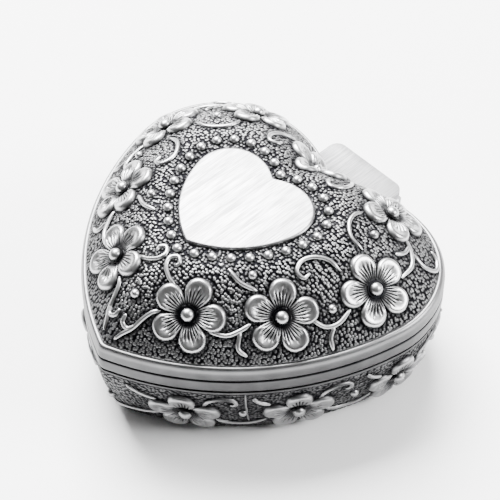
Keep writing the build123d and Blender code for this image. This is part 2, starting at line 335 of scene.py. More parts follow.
# ------------------------------------------------------------------- outlines
@dataclass(frozen=True)
class HeartOutline:
    """Plan outline of the rim, made of tangent arcs."""

    shift_y: float
    floor: float = -26.0
    lobe_x: float = 19.85
    lobe_r: float = 22.15
    side_r: float = 67.1
    corner_y: float = -53.68
    tip_r: float = 2.5
    shoulder_deg: float = 80.0
    shoulder_r: float = 30.0
    notch_r: float = 3.5
    centre_y: float = -13.3
    tip_dense: float = 1.6
    notch_dense: float = 1.3

    def _side_centre(self, lobe: Points) -> Points:
        """Centre of the long side arc, which touches the lobe and passes the front corner."""
        corner = np.array([0.0, self.corner_y])
        span = np.linalg.norm(lobe - corner)
        along = (self.side_r ** 2 - (self.side_r - self.lobe_r) ** 2 + span ** 2) / (2 * span)
        across = math.sqrt(self.side_r ** 2 - along ** 2)
        u = (lobe - corner) / span
        return corner + u * along + np.array([-u[1], u[0]]) * across

    def arcs(self, inset: float, tip: float) -> list[tuple[Points, float, float, float]]:
        """Half outline as arcs.

        Args:
            inset: Distance that the outline moves inwards.
            tip: Radius of the front tip.

        Returns:
            Centre, radius, first angle and last angle of each arc, tip to notch.
        """
        lobe = np.array([self.lobe_x, 0.0])
        side, side_r = self._side_centre(lobe), self.side_r - inset
        at = math.radians(self.shoulder_deg)
        shoulder = lobe + np.array([math.cos(at), math.sin(at)]) * (self.lobe_r - self.shoulder_r)
        notch = np.array([0.0, shoulder[1] + math.sqrt((self.shoulder_r + self.notch_r) ** 2
                                                       - shoulder[0] ** 2)])
        tip_c = np.array([0.0, side[1] - math.sqrt((side_r - tip) ** 2 - side[0] ** 2)])
        join_tip, join_lobe = bearing(tip_c - side), bearing(lobe - side)
        meet = bearing(notch - shoulder)
        return [(tip_c, tip, -math.pi / 2, join_tip), (side, side_r, join_tip, join_lobe),
                (lobe, self.lobe_r - inset, join_lobe, at), (shoulder, self.shoulder_r - inset, at, meet),
                (notch, self.notch_r + inset, meet - math.pi, -math.pi / 2)]

    def _shares(self, half: int) -> Points:
        """Number of points on each arc of a half ring, closer together at tip and notch."""
        share = np.array([abs(r * (b - a)) for _, r, a, b in self.arcs(0.0, self.tip_r)])
        share[0] *= self.tip_dense
        share[-1] *= self.notch_dense
        numbers = np.maximum(3, np.round(share / share.sum() * half)).astype(int)
        numbers[1] += half - numbers.sum()
        return numbers

    def ring(self, count: int, inset: float = 0.0, scale: float = 1.0, tip: Optional[float] = None) -> Points:
        """Closed ring of plan points that starts at the tip and turns to +X.

        Args:
            count: Number of points, an even number.
            inset: Distance that the outline moves inwards.
            scale: Size of the similar heart about the plan centre.
            tip: Radius of the front tip.

        Returns:
            The plan points, one row each.
        """
        half, arcs = [], self.arcs(inset, self.tip_r if tip is None else tip)
        for (centre, radius, a, b), n in zip(arcs, self._shares(count // 2)):
            t = np.linspace(a, b, n, endpoint=False)
            half.append(centre + radius * np.stack([np.cos(t), np.sin(t)], axis=1))
        centre, radius, _, b = arcs[-1]
        half.append((centre + radius * np.array([math.cos(b), math.sin(b)]))[None])
        right = np.vstack(half)
        left = right[1:-1][::-1] * [-1, 1]
        middle = np.array([0.0, self.centre_y])
        return middle + (np.vstack([right, left]) - middle) * scale

    @lru_cache(maxsize=None)
    def _polar(self) -> tuple[Points, Points]:
        """Bearings from the tip and radii of the rim's right half about the plan centre."""
        half = self.ring(FINE)[:FINE // 2 + 1] - [0.0, self.centre_y]
        return np.arctan2(half[:, 0], -half[:, 1]), np.hypot(half[:, 0], half[:, 1])

    def rim_radius(self, dx: Points, dy: Points) -> Points:
        """Distance from the plan centre to the rim, towards plan offsets."""
        return np.interp(np.arctan2(np.abs(dx), -dy), *self._polar())

    def rim_gap(self, places: Points) -> Points:
        """Distance in millimetres of places in metres inside the rim, towards the plan centre."""
        dx, dy = places[:, 0] / MM, places[:, 1] / MM - self.shift_y - self.centre_y
        return self.rim_radius(dx, dy) - np.hypot(dx, dy)

    def lift(self, plan: Points, level: Points | float) -> Points:
        """Plan points at a level as places in metres."""
        level = np.broadcast_to(np.asarray(level, float), plan.shape[:-1])
        return np.stack([plan[..., 0], plan[..., 1] + self.shift_y, level - self.floor], axis=-1) * MM

    def levels_of(self, places: Points) -> Points:
        """Levels in millimetres of places in metres."""
        return places[:, 2] / MM + self.floor

    def stack(self, count: int, profile: Sequence[tuple[float, float, float]]) -> Points:
        """Rings of a casting's profile.

        Args:
            count: Points in each ring.
            profile: Inset, scale and level of each ring.

        Returns:
            Places in metres, by ring, by point, by axis.
        """
        return np.stack([self.lift(self.ring(count, inset, scale), level)
                         for inset, scale, level in profile])


@dataclass(frozen=True)
class Dome:
    """Skin of the lid's dome, in plan and level millimetres."""

    outline: HeartOutline
    land: float = 14.3
    edge: float = 0.95
    inner: float = 0.47
    outer: float = 0.97
    power: float = 1.6
    tries: int = 8

    def height(self, scale: Points | float) -> Points:
        """Level of the skin on the similar heart of a scale."""
        t = np.clip((scale - self.inner) / (self.outer - self.inner), 0.0, None)
        return self.land - (self.land - self.edge) * t ** self.power

    def level(self, x: Points, y: Points) -> Points:
        """Level of the skin over plan points."""
        dy = y - self.outline.centre_y
        return self.height(np.hypot(x, dy) / self.outline.rim_radius(x, dy))

    def normal(self, x: Points, y: Points, step: float = 0.25) -> Points:
        """Outward normals of the skin over plan points.

        Args:
            x: Plan points to the right.
            y: Plan points to the rear.
            step: Distance to each side over which the slope is measured.

        Returns:
            Unit vectors, one for each point.
        """
        zx = (self.level(x + step, y) - self.level(x - step, y)) / (2 * step)
        zy = (self.level(x, y + step) - self.level(x, y - step)) / (2 * step)
        n = np.stack([-zx, -zy, np.ones_like(zx)], axis=-1)
        return n / np.linalg.norm(n, axis=-1, keepdims=True)

    def foot(self, place: tuple[float, float], a: Points, b: Points) -> tuple[Points, Points]:
        """Skin points under flat coordinates laid on the skin at a place.

        Args:
            place: Plan point where the coordinates' origin touches the skin.
            a: Coordinates to the right.
            b: Coordinates to the rear.

        Returns:
            Points in plan and level millimetres, and their outward normals.
        """
        x0, y0 = np.array([place[0]]), np.array([place[1]])
        n = self.normal(x0, y0, step=1.5)[0]
        ta = np.array([n[2], 0.0, -n[0]])
        ta /= np.linalg.norm(ta)
        tb = np.cross(n, ta)
        p = np.array([place[0], place[1], self.level(x0, y0)[0]]) + a[:, None] * ta + b[:, None] * tb
        for _ in range(self.tries):
            gap = p[:, 2] - self.level(p[:, 0], p[:, 1])
            p = p - n * (gap * n[2])[:, None] * 0.8
        p[:, 2] = self.level(p[:, 0], p[:, 1])
        return p, self.normal(p[:, 0], p[:, 1])

    def plan_foot(self, route: Points) -> tuple[Points, Points]:
        """Skin points and normals straight over plan points."""
        z = self.level(route[:, 0], route[:, 1])
        return np.column_stack([route, z]), self.normal(route[:, 0], route[:, 1])

    def over(self, places: Points) -> Points:
        """Height of places in metres over the skin, in millimetres."""
        x, y = places[:, 0] / MM, places[:, 1] / MM - self.outline.shift_y
        return (self.outline.levels_of(places) - self.level(x, y)) * self.normal(x, y)[:, 2]


@dataclass
class Wall:
    """Skin of the base's tapering wall, measured along it from the tip."""

    outline: HeartOutline
    top: float = -7.0
    run: float = 19.0
    start: float = 0.25
    taper: float = 4.9
    power: float = 1.6
    bands: int = 28

    def __post_init__(self) -> None:
        """Tabulate the wall by level and point."""
        self._levels = np.linspace(self.top + 0.5, self.top - self.run + 0.2, self.bands)
        self._table = np.stack([self._ring(z, FINE) for z in self._levels])
        self._middle = self._table[self.bands // 2]
        self._along = along_ring(self._middle)

    def inset(self, level: float) -> float:
        """Inset of the wall from the rim at a level."""
        t = max(0.0, (self.top - level) / self.run)
        return self.start + self.taper * t ** self.power

    def _ring(self, level: float, count: int, sink: float = 0.0) -> Points:
        """Plan ring of the wall at a level, moved inwards by sink."""
        inset = self.inset(level)
        return self.outline.ring(count, inset + sink, tip=2.8 + 0.25 * inset)

    def rings(self, levels: Sequence[float], count: int, sink: float = 0.0) -> Points:
        """Rings of the wall in metres, moved inwards by sink."""
        return np.stack([self.outline.lift(self._ring(z, count, sink), z) for z in levels])

    def nearest(self, x: float, y: float) -> float:
        """Distance along the wall from the tip to the point nearest a plan point.

        Args:
            x: Plan point to the right.
            y: Plan point to the rear.

        Returns:
            The distance, negative on the left side.
        """
        i = int(np.argmin(np.hypot(self._middle[:, 0] - x, self._middle[:, 1] - y)))
        s = self._along[i]
        return s if s < self._along[-1] / 2 else s - self._along[-1]

    def at(self, s: Points, z: Points) -> Points:
        """Skin points on the wall.

        Args:
            s: Distances along the wall from the tip.
            z: Levels.

        Returns:
            The points in plan and level millimetres, one row each.
        """
        t = np.interp(np.mod(s, self._along[-1]), self._along, np.arange(len(self._along)))
        i = np.floor(t).astype(int)
        f = (t - i)[:, None]
        count = self._table.shape[1]
        i, i1 = i % count, (i + 1) % count
        depth = (self._levels[0] - z) / (self._levels[0] - self._levels[-1])
        k = np.clip(depth, 0, 1) * (self.bands - 1)
        j = np.minimum(np.floor(k).astype(int), self.bands - 2)
        g = (k - j)[:, None]
        low = self._table[j, i] * (1 - f) + self._table[j, i1] * f
        high = self._table[j + 1, i] * (1 - f) + self._table[j + 1, i1] * f
        return np.column_stack([low * (1 - g) + high * g, z])

    def plan_foot(self, route: Points) -> tuple[Points, Points]:
        """Skin points and outward normals.

        Args:
            route: Rows of distance and level.

        Returns:
            Points in plan and level millimetres, and their unit normals.
        """
        s, z = route[:, 0], route[:, 1]
        d = 0.3
        along = self.at(s + d, z) - self.at(s - d, z)
        up = self.at(s, z + d) - self.at(s, z - d)
        n = np.cross(along, up)
        return self.at(s, z), n / np.linalg.norm(n, axis=1, keepdims=True)

    def foot(self, place: tuple[float, float], a: Points, b: Points) -> tuple[Points, Points]:
        """Skin points and normals round a (distance, level) place."""
        slope = (self.inset(place[1] - 1) - self.inset(place[1] + 1)) / 2
        return self.plan_foot(np.column_stack([place[0] + a, place[1] + b / math.hypot(1, slope)]))

    def over(self, places: Points) -> Points:
        """Height of places in metres over the skin, in millimetres.

        Args:
            places: The places, one row each.

        Returns:
            One height for each place.
        """
        x, y = places[:, 0] / MM, places[:, 1] / MM - self.outline.shift_y
        ring = self.outline.ring(FINE)
        tree = KDTree(len(ring))
        for i, point in enumerate(ring):
            tree.insert((point[0], point[1], 0.0), i)
        tree.balance()
        gaps = [tree.find((px, py, 0.0))[2] for px, py in zip(x, y)]
        return np.array([self.inset(level) for level in self.outline.levels_of(places)]) - np.array(gaps)


# ------------------------------------------------------------------ materials
class Sheet:
    """Node tree of a material or group, filled by short calls."""

    def __init__(self, tree: bpy.types.NodeTree) -> None:
        """Start from an empty tree."""
        self.tree = tree
        tree.nodes.clear()

    def add(self, kind: str, **settings: object) -> bpy.types.Node:
        """Add a node.

        Args:
            kind: Type of the node.
            settings: Its properties by name, or its inputs by name with in_ before it.

        Returns:
            The new node.
        """
        node = self.tree.nodes.new(kind)
        for key, value in settings.items():
            if key.startswith("in_"):
                node.inputs[key[3:].replace("_", " ")].default_value = value
            else:
                setattr(node, key, value)
        return node

    def link(self, source: bpy.types.NodeSocket, target: bpy.types.NodeSocket) -> None:
        """Join two sockets."""
        self.tree.links.new(source, target)

    def feed(self, value: object, target: bpy.types.NodeSocket) -> None:
        """Give an input a value, either a socket to link or a number or colour.

        Args:
            value: The socket, number or colour.
            target: The input.
        """
        if isinstance(value, bpy.types.NodeSocket):
            self.link(value, target)
        else:
            target.default_value = value

    def math(self, operation: str, a: object, b: object = 0.0, clamp: bool = False) -> bpy.types.NodeSocket:
        """Arithmetic on sockets or numbers.

        Args:
            operation: Name of the operation.
            a: First socket or number.
            b: Second socket or number.
            clamp: The result is kept between 0 and 1.

        Returns:
            The result's socket.
        """
        node = self.add("ShaderNodeMath", operation=operation, use_clamp=clamp)
        self.feed(a, node.inputs[0])
        self.feed(b, node.inputs[1])
        return node.outputs[0]

    def remap(self, value: bpy.types.NodeSocket, low: float, high: float, to_low: float = 0.0,
              to_high: float = 1.0, smoothly: bool = True) -> bpy.types.NodeSocket:
        """Map a range of a value onto another range.

        Args:
            value: The value's socket.
            low: Start of its range.
            high: End of its range.
            to_low: Start of the new range.
            to_high: End of the new range.
            smoothly: The change starts and ends gently.

        Returns:
            The result's socket.
        """
        node = self.add("ShaderNodeMapRange", interpolation_type="SMOOTHSTEP" if smoothly else "LINEAR",
                        in_From_Min=low, in_From_Max=high, in_To_Min=to_low, in_To_Max=to_high)
        self.link(value, node.inputs["Value"])
        return node.outputs["Result"]

    def noise(self, vector: bpy.types.NodeSocket, scale: float, detail: float = 3.0) -> bpy.types.NodeSocket:
        """Noise value at a number of waves per metre."""
        node = self.add("ShaderNodeTexNoise", in_Scale=scale, in_Detail=detail)
        self.link(vector, node.inputs["Vector"])
        return node.outputs["Fac"]

    def blend(self, factor: bpy.types.NodeSocket, a: object, b: object) -> bpy.types.NodeSocket:
        """Mix two colours.

        Args:
            factor: Share of the second colour.
            a: First colour, as a socket or as numbers.
            b: Second colour, as a socket or as numbers.

        Returns:
            The mixed colour's socket.
        """
        node = self.add("ShaderNodeMix", data_type="RGBA")
        self.link(factor, node.inputs["Factor"])
        self.feed(a, node.inputs[6])
        self.feed(b, node.inputs[7])
        return node.outputs[2]

    def bump(self, height: bpy.types.NodeSocket, strength: float, depth: float) -> bpy.types.NodeSocket:
        """Normal of a surface roughened by a height.

        Args:
            height: Height from 0 to 1.
            strength: Strength of the effect.
            depth: What a height of 1 stands for, in millimetres.

        Returns:
            The normal's socket.
        """
        node = self.add("ShaderNodeBump", in_Strength=strength, in_Distance=depth * MM)
        self.link(height, node.inputs["Height"])
        return node.outputs["Normal"]


GRAIN_PITCH = 0.80
GRAIN_SCATTER = 0.78
GRAIN_FOOT = 0.56  # a grain's radius, in pitches
GRAIN_RUBBED = 0.22  # the rubbed part of that radius


def grain_distance(sheet: Sheet, mould: bpy.types.NodeSocket) -> bpy.types.NodeSocket:
    """Distance from the middle of the nearest grain, in pitches, on the unrolled ground."""
    cells = sheet.add("ShaderNodeTexVoronoi", voronoi_dimensions="2D", feature="F1",
                      in_Scale=1.0 / (GRAIN_PITCH * MM), in_Randomness=GRAIN_SCATTER)
    sheet.link(mould, cells.inputs["Vector"])
    return cells.outputs["Distance"]


def grain_crown(sheet: Sheet, distance: bpy.types.NodeSocket) -> bpy.types.NodeSocket:
    """Height of a round grain, from 1 on its middle to 0 at its foot."""
    share = sheet.math("MULTIPLY", distance, 1.0 / GRAIN_FOOT)
    fall = sheet.math("MULTIPLY", share, share)
    return sheet.math("SQRT", sheet.math("SUBTRACT", 1.0, fall, clamp=True))


def patina_group() -> bpy.types.NodeTree:
    """Aged pewter: dark film in the hollows, metal rubbed bright on the heights, and painted shade and
    highlight where a piece's relief carries them.
    """
    group = bpy.data.node_groups.get("aged_pewter")
    if group:
        return group
    group = bpy.data.node_groups.new("aged_pewter", "ShaderNodeTree")
    sheet = Sheet(group)
    face = group.interface
    face.new_socket("Vector", in_out="INPUT", socket_type="NodeSocketVector")
    for name, value in (("Relief", 1.0), ("Film", 0.35), ("Grain", 1.0)):
        socket = face.new_socket(name, in_out="INPUT", socket_type="NodeSocketFloat")
        socket.default_value = value
    for name in ("Dark", "Bright"):
        face.new_socket(name, in_out="INPUT", socket_type="NodeSocketColor")
    face.new_socket("Color", in_out="OUTPUT", socket_type="NodeSocketColor")
    face.new_socket("Roughness", in_out="OUTPUT", socket_type="NodeSocketFloat")
    face.new_socket("Height", in_out="OUTPUT", socket_type="NodeSocketFloat")
    given = sheet.add("NodeGroupInput").outputs
    result = sheet.add("NodeGroupOutput").inputs
    blotch = sheet.noise(given["Vector"], 240.0, 4.0)
    grain = sheet.noise(given["Vector"], 2600.0, 2.0)
    uneven = sheet.math("MULTIPLY", sheet.math("SUBTRACT", blotch, 0.5), given["Film"])
    worn = sheet.math("ADD", given["Relief"], uneven, clamp=True)
    sheet.link(sheet.blend(sheet.math("POWER", worn, 1.4), given["Dark"], given["Bright"]), result["Color"])
    rough = sheet.remap(worn, 0.0, 1.0, 0.52, 0.31, smoothly=False)
    rough = sheet.math("ADD", rough, sheet.math("MULTIPLY", sheet.math("SUBTRACT", grain, 0.5), 0.16))
    sheet.link(rough, result["Roughness"])
    sheet.link(sheet.math("MULTIPLY", grain, given["Grain"]), result["Height"])
    return group


@dataclass(frozen=True)
class Finish:
    """Material of a piece, built the first time that it is asked for."""

    name: str

    def make(self) -> bpy.types.Material:
        """Build the material, once.

        Returns:
            The material.
        """
        if self.name in bpy.data.materials:
            return bpy.data.materials[self.name]
        material = bpy.data.materials.new(self.name)
        material.use_nodes = True
        sheet = Sheet(material.node_tree)
        place = sheet.add("ShaderNodeTexCoord").outputs["Object"]
        shader = self.shade(sheet, place)
        sheet.link(shader.outputs[0], sheet.add("ShaderNodeOutputMaterial").inputs["Surface"])
        return material

    def shade(self, sheet: Sheet, place: bpy.types.NodeSocket) -> bpy.types.Node:
        """Add the shader with all that feeds it, and return the shader."""
        raise NotImplementedError


@dataclass(frozen=True)
class PewterFinish(Finish):
    """Antiqued pewter; what is rubbed bright, and on some pieces painted shade and highlight, comes from a
    piece's own relief.
    """

    grains: bool = False
    dark: tuple = (0.004, 0.004, 0.005, 1.0)
    bright: tuple = (0.46, 0.46, 0.465, 1.0)
    film: float = 0.42
    bump: float = 0.2

    def shade(self, sheet: Sheet, place: bpy.types.NodeSocket) -> bpy.types.Node:
        """Dark film in the hollows and bright metal on the heights.

        Args:
            sheet: The material's node tree.
            place: Object coordinates.

        Returns:
            The shader node.
        """
        relief = sheet.add("ShaderNodeAttribute", attribute_name="relief").outputs["Fac"]
        aged = sheet.add("ShaderNodeGroup", node_tree=patina_group(), in_Film=self.film, in_Dark=self.dark,
                         in_Bright=self.bright, in_Grain=0.12)
        sheet.link(place, aged.inputs["Vector"])
        height = aged.outputs["Height"]
        if self.grains:
            relief, height = self._pebbled(sheet, relief, height)
        sheet.link(relief, aged.inputs["Relief"])
        metal = sheet.add("ShaderNodeBsdfPrincipled", in_Metallic=1.0)
        sheet.link(aged.outputs["Color"], metal.inputs["Base Color"])
        sheet.link(aged.outputs["Roughness"], metal.inputs["Roughness"])
        sheet.link(sheet.bump(height, self.bump, 0.2), metal.inputs["Normal"])
        return metal

    def _pebbled(self, sheet: Sheet, relief: bpy.types.NodeSocket,
                 height: bpy.types.NodeSocket) -> tuple[bpy.types.NodeSocket, bpy.types.NodeSocket]:
        """Grains on the pressed part of the ground.

        Args:
            sheet: The material's node tree.
            relief: The ground's relief.
            height: The metal's own fine height.

        Returns:
            The relief with film between the grains, and the height with their crowns.
        """
        mould = sheet.add("ShaderNodeAttribute", attribute_name="mould").outputs["Vector"]
        pressed = sheet.add("ShaderNodeAttribute", attribute_name="field").outputs["Fac"]
        distance = grain_distance(sheet, mould)
        rubbed = sheet.remap(distance, GRAIN_RUBBED, GRAIN_FOOT, 1.0, 0.0)
        bare = sheet.math("SUBTRACT", 1.0, pressed)
        crown = sheet.math("MULTIPLY", grain_crown(sheet, distance), pressed)
        return (sheet.math("MULTIPLY", relief, sheet.math("MAXIMUM", rubbed, bare)),
                sheet.math("ADD", height, crown))


@dataclass(frozen=True)
class BrushedFinish(Finish):
    """Polished metal with fine brush lines along the box's length."""

    bright: tuple = (0.31, 0.31, 0.314, 1.0)
    dull: tuple = (0.16, 0.16, 0.163, 1.0)
    roughness: float = 0.3
    lines: float = 5200.0
    lean_deg: float = 9.0
    stretch: float = 0.035

    def shade(self, sheet: Sheet, place: bpy.types.NodeSocket) -> bpy.types.Node:
        """Lines drawn out of a noise, in colour, gloss and height.

        Args:
            sheet: The material's node tree.
            place: Object coordinates.

        Returns:
            The shader node.
        """
        drawn = sheet.add("ShaderNodeMapping", in_Rotation=(0.0, 0.0, math.radians(self.lean_deg)),
                          in_Scale=(1.0, self.stretch, 1.0))
        sheet.link(place, drawn.inputs["Vector"])
        strokes = sheet.noise(drawn.outputs["Vector"], self.lines, 4.0)
        broad = sheet.noise(drawn.outputs["Vector"], self.lines / 7, 2.0)
        cloud = sheet.noise(place, 110.0, 2.0)
        marks = sheet.math("ADD", sheet.math("MULTIPLY", strokes, 0.7), sheet.math("MULTIPLY", broad, 0.3))
        metal = sheet.add("ShaderNodeBsdfPrincipled", in_Metallic=1.0)
        tone = sheet.blend(sheet.remap(marks, 0.35, 0.65), self.dull, self.bright)
        sheet.link(tone, metal.inputs["Base Color"])
        rough = sheet.remap(marks, 0.3, 0.7, self.roughness + 0.1, self.roughness - 0.04)
        rough = sheet.math("ADD", rough, sheet.math("MULTIPLY", cloud, 0.08))
        sheet.link(rough, metal.inputs["Roughness"])
        sheet.link(sheet.bump(marks, 0.22, 0.02), metal.inputs["Normal"])
        return metal


@dataclass(frozen=True)
class VelvetFinish(Finish):
    """Short-pile black velvet."""

    deep: tuple = (0.006, 0.006, 0.007, 1.0)
    light: tuple = (0.014, 0.014, 0.016, 1.0)

    def shade(self, sheet: Sheet, place: bpy.types.NodeSocket) -> bpy.types.Node:
        """Pile that is brushed a little lighter here and there.

        Args:
            sheet: The material's node tree.
            place: Object coordinates.

        Returns:
            The shader node.
        """
        pile = sheet.noise(place, 4200.0, 2.0)
        nap = sheet.noise(place, 140.0, 3.0)
        cloth = sheet.add("ShaderNodeBsdfPrincipled", in_Sheen_Weight=0.3, in_Sheen_Roughness=0.4,
                          in_Specular_IOR_Level=0.15)
        tone = sheet.blend(sheet.remap(nap, 0.35, 0.65), self.deep, self.light)
        sheet.link(tone, cloth.inputs["Base Color"])
        sheet.link(sheet.remap(pile, 0.3, 0.7, 0.85, 1.0), cloth.inputs["Roughness"])
        sheet.link(sheet.bump(pile, 0.6, 0.15), cloth.inputs["Normal"])
        return cloth


@dataclass(frozen=True)
class PlainFinish(Finish):
    """Matt paint of one colour."""

    colour: tuple = (0.94, 0.94, 0.94, 1.0)
    roughness: float = 0.6

    def shade(self, sheet: Sheet, place: bpy.types.NodeSocket) -> bpy.types.Node:
        """Plain shader; the place isn't needed."""
        return sheet.add("ShaderNodeBsdfPrincipled", in_Base_Color=self.colour, in_Roughness=self.roughness)


RELIEF_RISE_LEVELS = (27.0, 36.0)  # heights over the table between which the ground goes from darker to its full relief
RIM_SHARE = 0.72  # what the lower ground keeps of the upper ground's relief

CAST = PewterFinish("cast_pewter")
# The rims' pewter is a darker copy of the cast pewter: painted shade on the bands.
RIM = PewterFinish("rim_pewter_painted_shade", bright=(0.33, 0.33, 0.334, 1.0), film=0.2)
# The beads' pewter is painted lighter than the cast pewter: a painted highlight.
BEADS = PewterFinish("bead_pewter_painted_highlight", bright=(0.58, 0.58, 0.585, 1.0), film=0.15)
GROUND = PewterFinish("grained_pewter", grains=True, bright=(0.235, 0.235, 0.238, 1.0), film=0.55,
                      bump=0.75)
BRIGHT = BrushedFinish("brushed_pewter")
SATIN = BrushedFinish("satin_pewter", bright=(0.21, 0.21, 0.213, 1.0), dull=(0.14, 0.14, 0.142, 1.0),
                      roughness=0.42)
STEEL = BrushedFinish("pin_steel", bright=(0.6, 0.6, 0.62, 1.0), dull=(0.45, 0.45, 0.47, 1.0))
VELVET = VelvetFinish("black_velvet")
TABLE = PlainFinish("white_table")


def dress(obj: bpy.types.Object, finish: Finish, slot: Slot, body: Body, *nodes: str) -> bpy.types.Object:
    """Give a finished piece its material and body, and hide the CAD nodes that it stands for.

    Args:
        obj: The piece.
        finish: Its finish.
        slot: Material slot; not used.
        body: Body that the piece moves with.
        nodes: CAD nodes that it replaces.

    Returns:
        The same piece.
    """
    obj.data.materials.clear()
    obj.data.materials.append(finish.make())
    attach(obj, body.value)
    if nodes:
        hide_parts(*nodes)
    LOG.info("%s: %d faces, rides on %s", obj.name, len(obj.data.polygons), body.value)
    return obj


# --------------------------------------------------------------------- relief
@dataclass(frozen=True)
class FlowerShape:
    """Five-petal flower with dished petals, cut veins and a centre bead."""

    petals: int = 5
    reach: float = 8.25
    neck: float = 1.1
    half_width: float = 3.12
    crest: float = 1.12
    dish: float = 0.5
    root: float = -0.45
    veins: int = 3
    vein_step: float = math.radians(8.8)
    vein_width: float = 0.23
    vein_depth: float = 0.42
    across: int = 66
    along: int = 44
    eye_r: float = 1.9
    bead_r: float = 1.42
    bead_level: float = 0.62
    bead_flat: float = 0.86
    weld: float = 1e-3

    def _outline(self) -> tuple[Points, Points, Points, Points]:
        """Grid of one petal that points to +X.

        Returns:
            Share of the length from -1 to 1, places along and across, and share of the way to the edge.
        """
        u = np.linspace(0, 1, self.along)
        v = np.linspace(-1, 1, self.across)
        v = np.sin(v * math.pi / 2) * 0.45 + v * 0.55
        t = -np.cos(u * math.pi) * 0.6 + (2 * u - 1) * 0.4
        t, v = np.meshgrid(t, v, indexing="ij")
        r = (self.reach + self.neck) / 2 + (self.reach - self.neck) / 2 * t
        width = self.half_width * (0.66 + 0.34 * ease(-1.0, 0.25, t)) * (1.0 + 0.05 * t)
        y = v * width * np.sqrt(np.clip(1 - t ** 2, 0, 1)) ** 0.82
        edge = np.sqrt(np.clip(t ** 2 + v ** 2 * (1 - t ** 2), 0, 1))
        return t, r, y, edge

    def _cut_veins(self, r: Points, y: Points, h: Points) -> tuple[Points, Points]:
        """Cut the fan of veins into a petal.

        Args:
            r: Places along the petal.
            y: Places across it.
            h: Its height.

        Returns:
            The new height, and the relief with film in the veins.
        """
        relief = np.ones_like(h)
        fan = np.arctan2(y, r)
        for k in range(-self.veins, self.veins + 1):
            end = self.reach * (0.80 - 0.045 * abs(k) ** 1.4) - 0.35 * (k % 2)
            off = np.abs(fan - k * self.vein_step) * r
            narrow = self.vein_width * (0.45 + 0.55 * ease(end, self.neck + 0.8, r))
            cut = np.exp(-(off / narrow) ** 2) * ease(end, end - 1.3, r)
            h = h - self.vein_depth * cut * ease(self.neck, self.neck + 1.2, r)
            relief = relief * (1 - 0.95 * cut)
        return h, relief

    def petal(self) -> tuple[Points, Points]:
        """Places and relief of one petal that points to +X."""
        t, r, y, edge = self._outline()
        h = self.crest - self.dish * (1 - ease(0.05, 0.68, edge)) * ease(-0.9, 0.1, t)
        h = h * (0.52 + 0.48 * ease(-0.95, 0.0, t)) + 0.16 * ease(0.1, 0.8, t)
        h, relief = self._cut_veins(r, y, h)
        round_off = np.sqrt(np.clip(1 - (np.clip(edge - 0.72, 0, 1) / 0.28) ** 2, 0, 1))
        h = self.root + (h - self.root) * round_off
        relief = relief * ease(1.2, 2.0, r) * ease(-0.1, 0.6, h)
        relief = relief * (0.9 + 0.1 * ease(0.3, 0.66, edge)) * (1 - 0.8 * ease(0.88, 0.99, edge))
        return np.stack([r, y, h], axis=-1), relief

    def _centre(self) -> list[bpy.types.Object]:
        """Sunk dark eye of the flower and the bead on it."""
        bpy.ops.mesh.primitive_cylinder_add(vertices=40, radius=self.eye_r, depth=0.9)
        eye = bpy.context.object
        paint(eye, "relief", np.zeros(len(eye.data.vertices)))
        bpy.ops.mesh.primitive_uv_sphere_add(segments=32, ring_count=20, radius=self.bead_r,
                                             location=(0, 0, self.bead_level))
        bead = bpy.context.object
        bead.scale.z = self.bead_flat
        bpy.ops.object.transform_apply(location=True, rotation=True, scale=True)
        paint(bead, "relief", ease(0.25, 0.95, coordinates(bead)[:, 2]))
        return [eye, bead]

    def make(self, name: str) -> tuple[bpy.types.Object, Points]:
        """Model the flower flat, in millimetres.

        Args:
            name: Name of the pattern.

        Returns:
            The pattern and its relief values.
        """
        places, relief = self.petal()
        petals = []
        for k in range(self.petals):
            petal = new_grid("petal", turned(places, 2 * math.pi * k / self.petals))
            paint(petal, "relief", relief.ravel())
            close_up(petal, self.weld)
            petals.append(petal)
        flower = joined(name, petals + self._centre())
        return flower, painted(flower, "relief")


def turned(places: Points, angle: float) -> Points:
    """Places turned about the vertical.

    Args:
        places: The places, their last axis being x, y and height.
        angle: Angle in radians, from +X to +Y.

    Returns:
        The turned places.
    """
    x, y = places[..., 0], places[..., 1]
    return np.stack([x * math.cos(angle) - y * math.sin(angle),
                     x * math.sin(angle) + y * math.cos(angle), places[..., 2]], axis=-1)


def drape(obj: bpy.types.Object, surface: Dome | Wall, place: tuple[float, float], turn: float) -> None:
    """Lay a flat piece in millimetres onto a skin.

    Args:
        obj: Piece drawn flat, its height along +Z.
        surface: Skin that it lies on.
        place: Where its middle goes.
        turn: Turn about its own normal, in radians.
    """
    flat = turned(coordinates(obj), turn)
    feet, normals = surface.foot(place, flat[:, 0], flat[:, 1])
    on_skin = feet + normals * flat[:, 2:]
    reshape(obj, surface.outline.lift(on_skin[:, :2], on_skin[:, 2]))


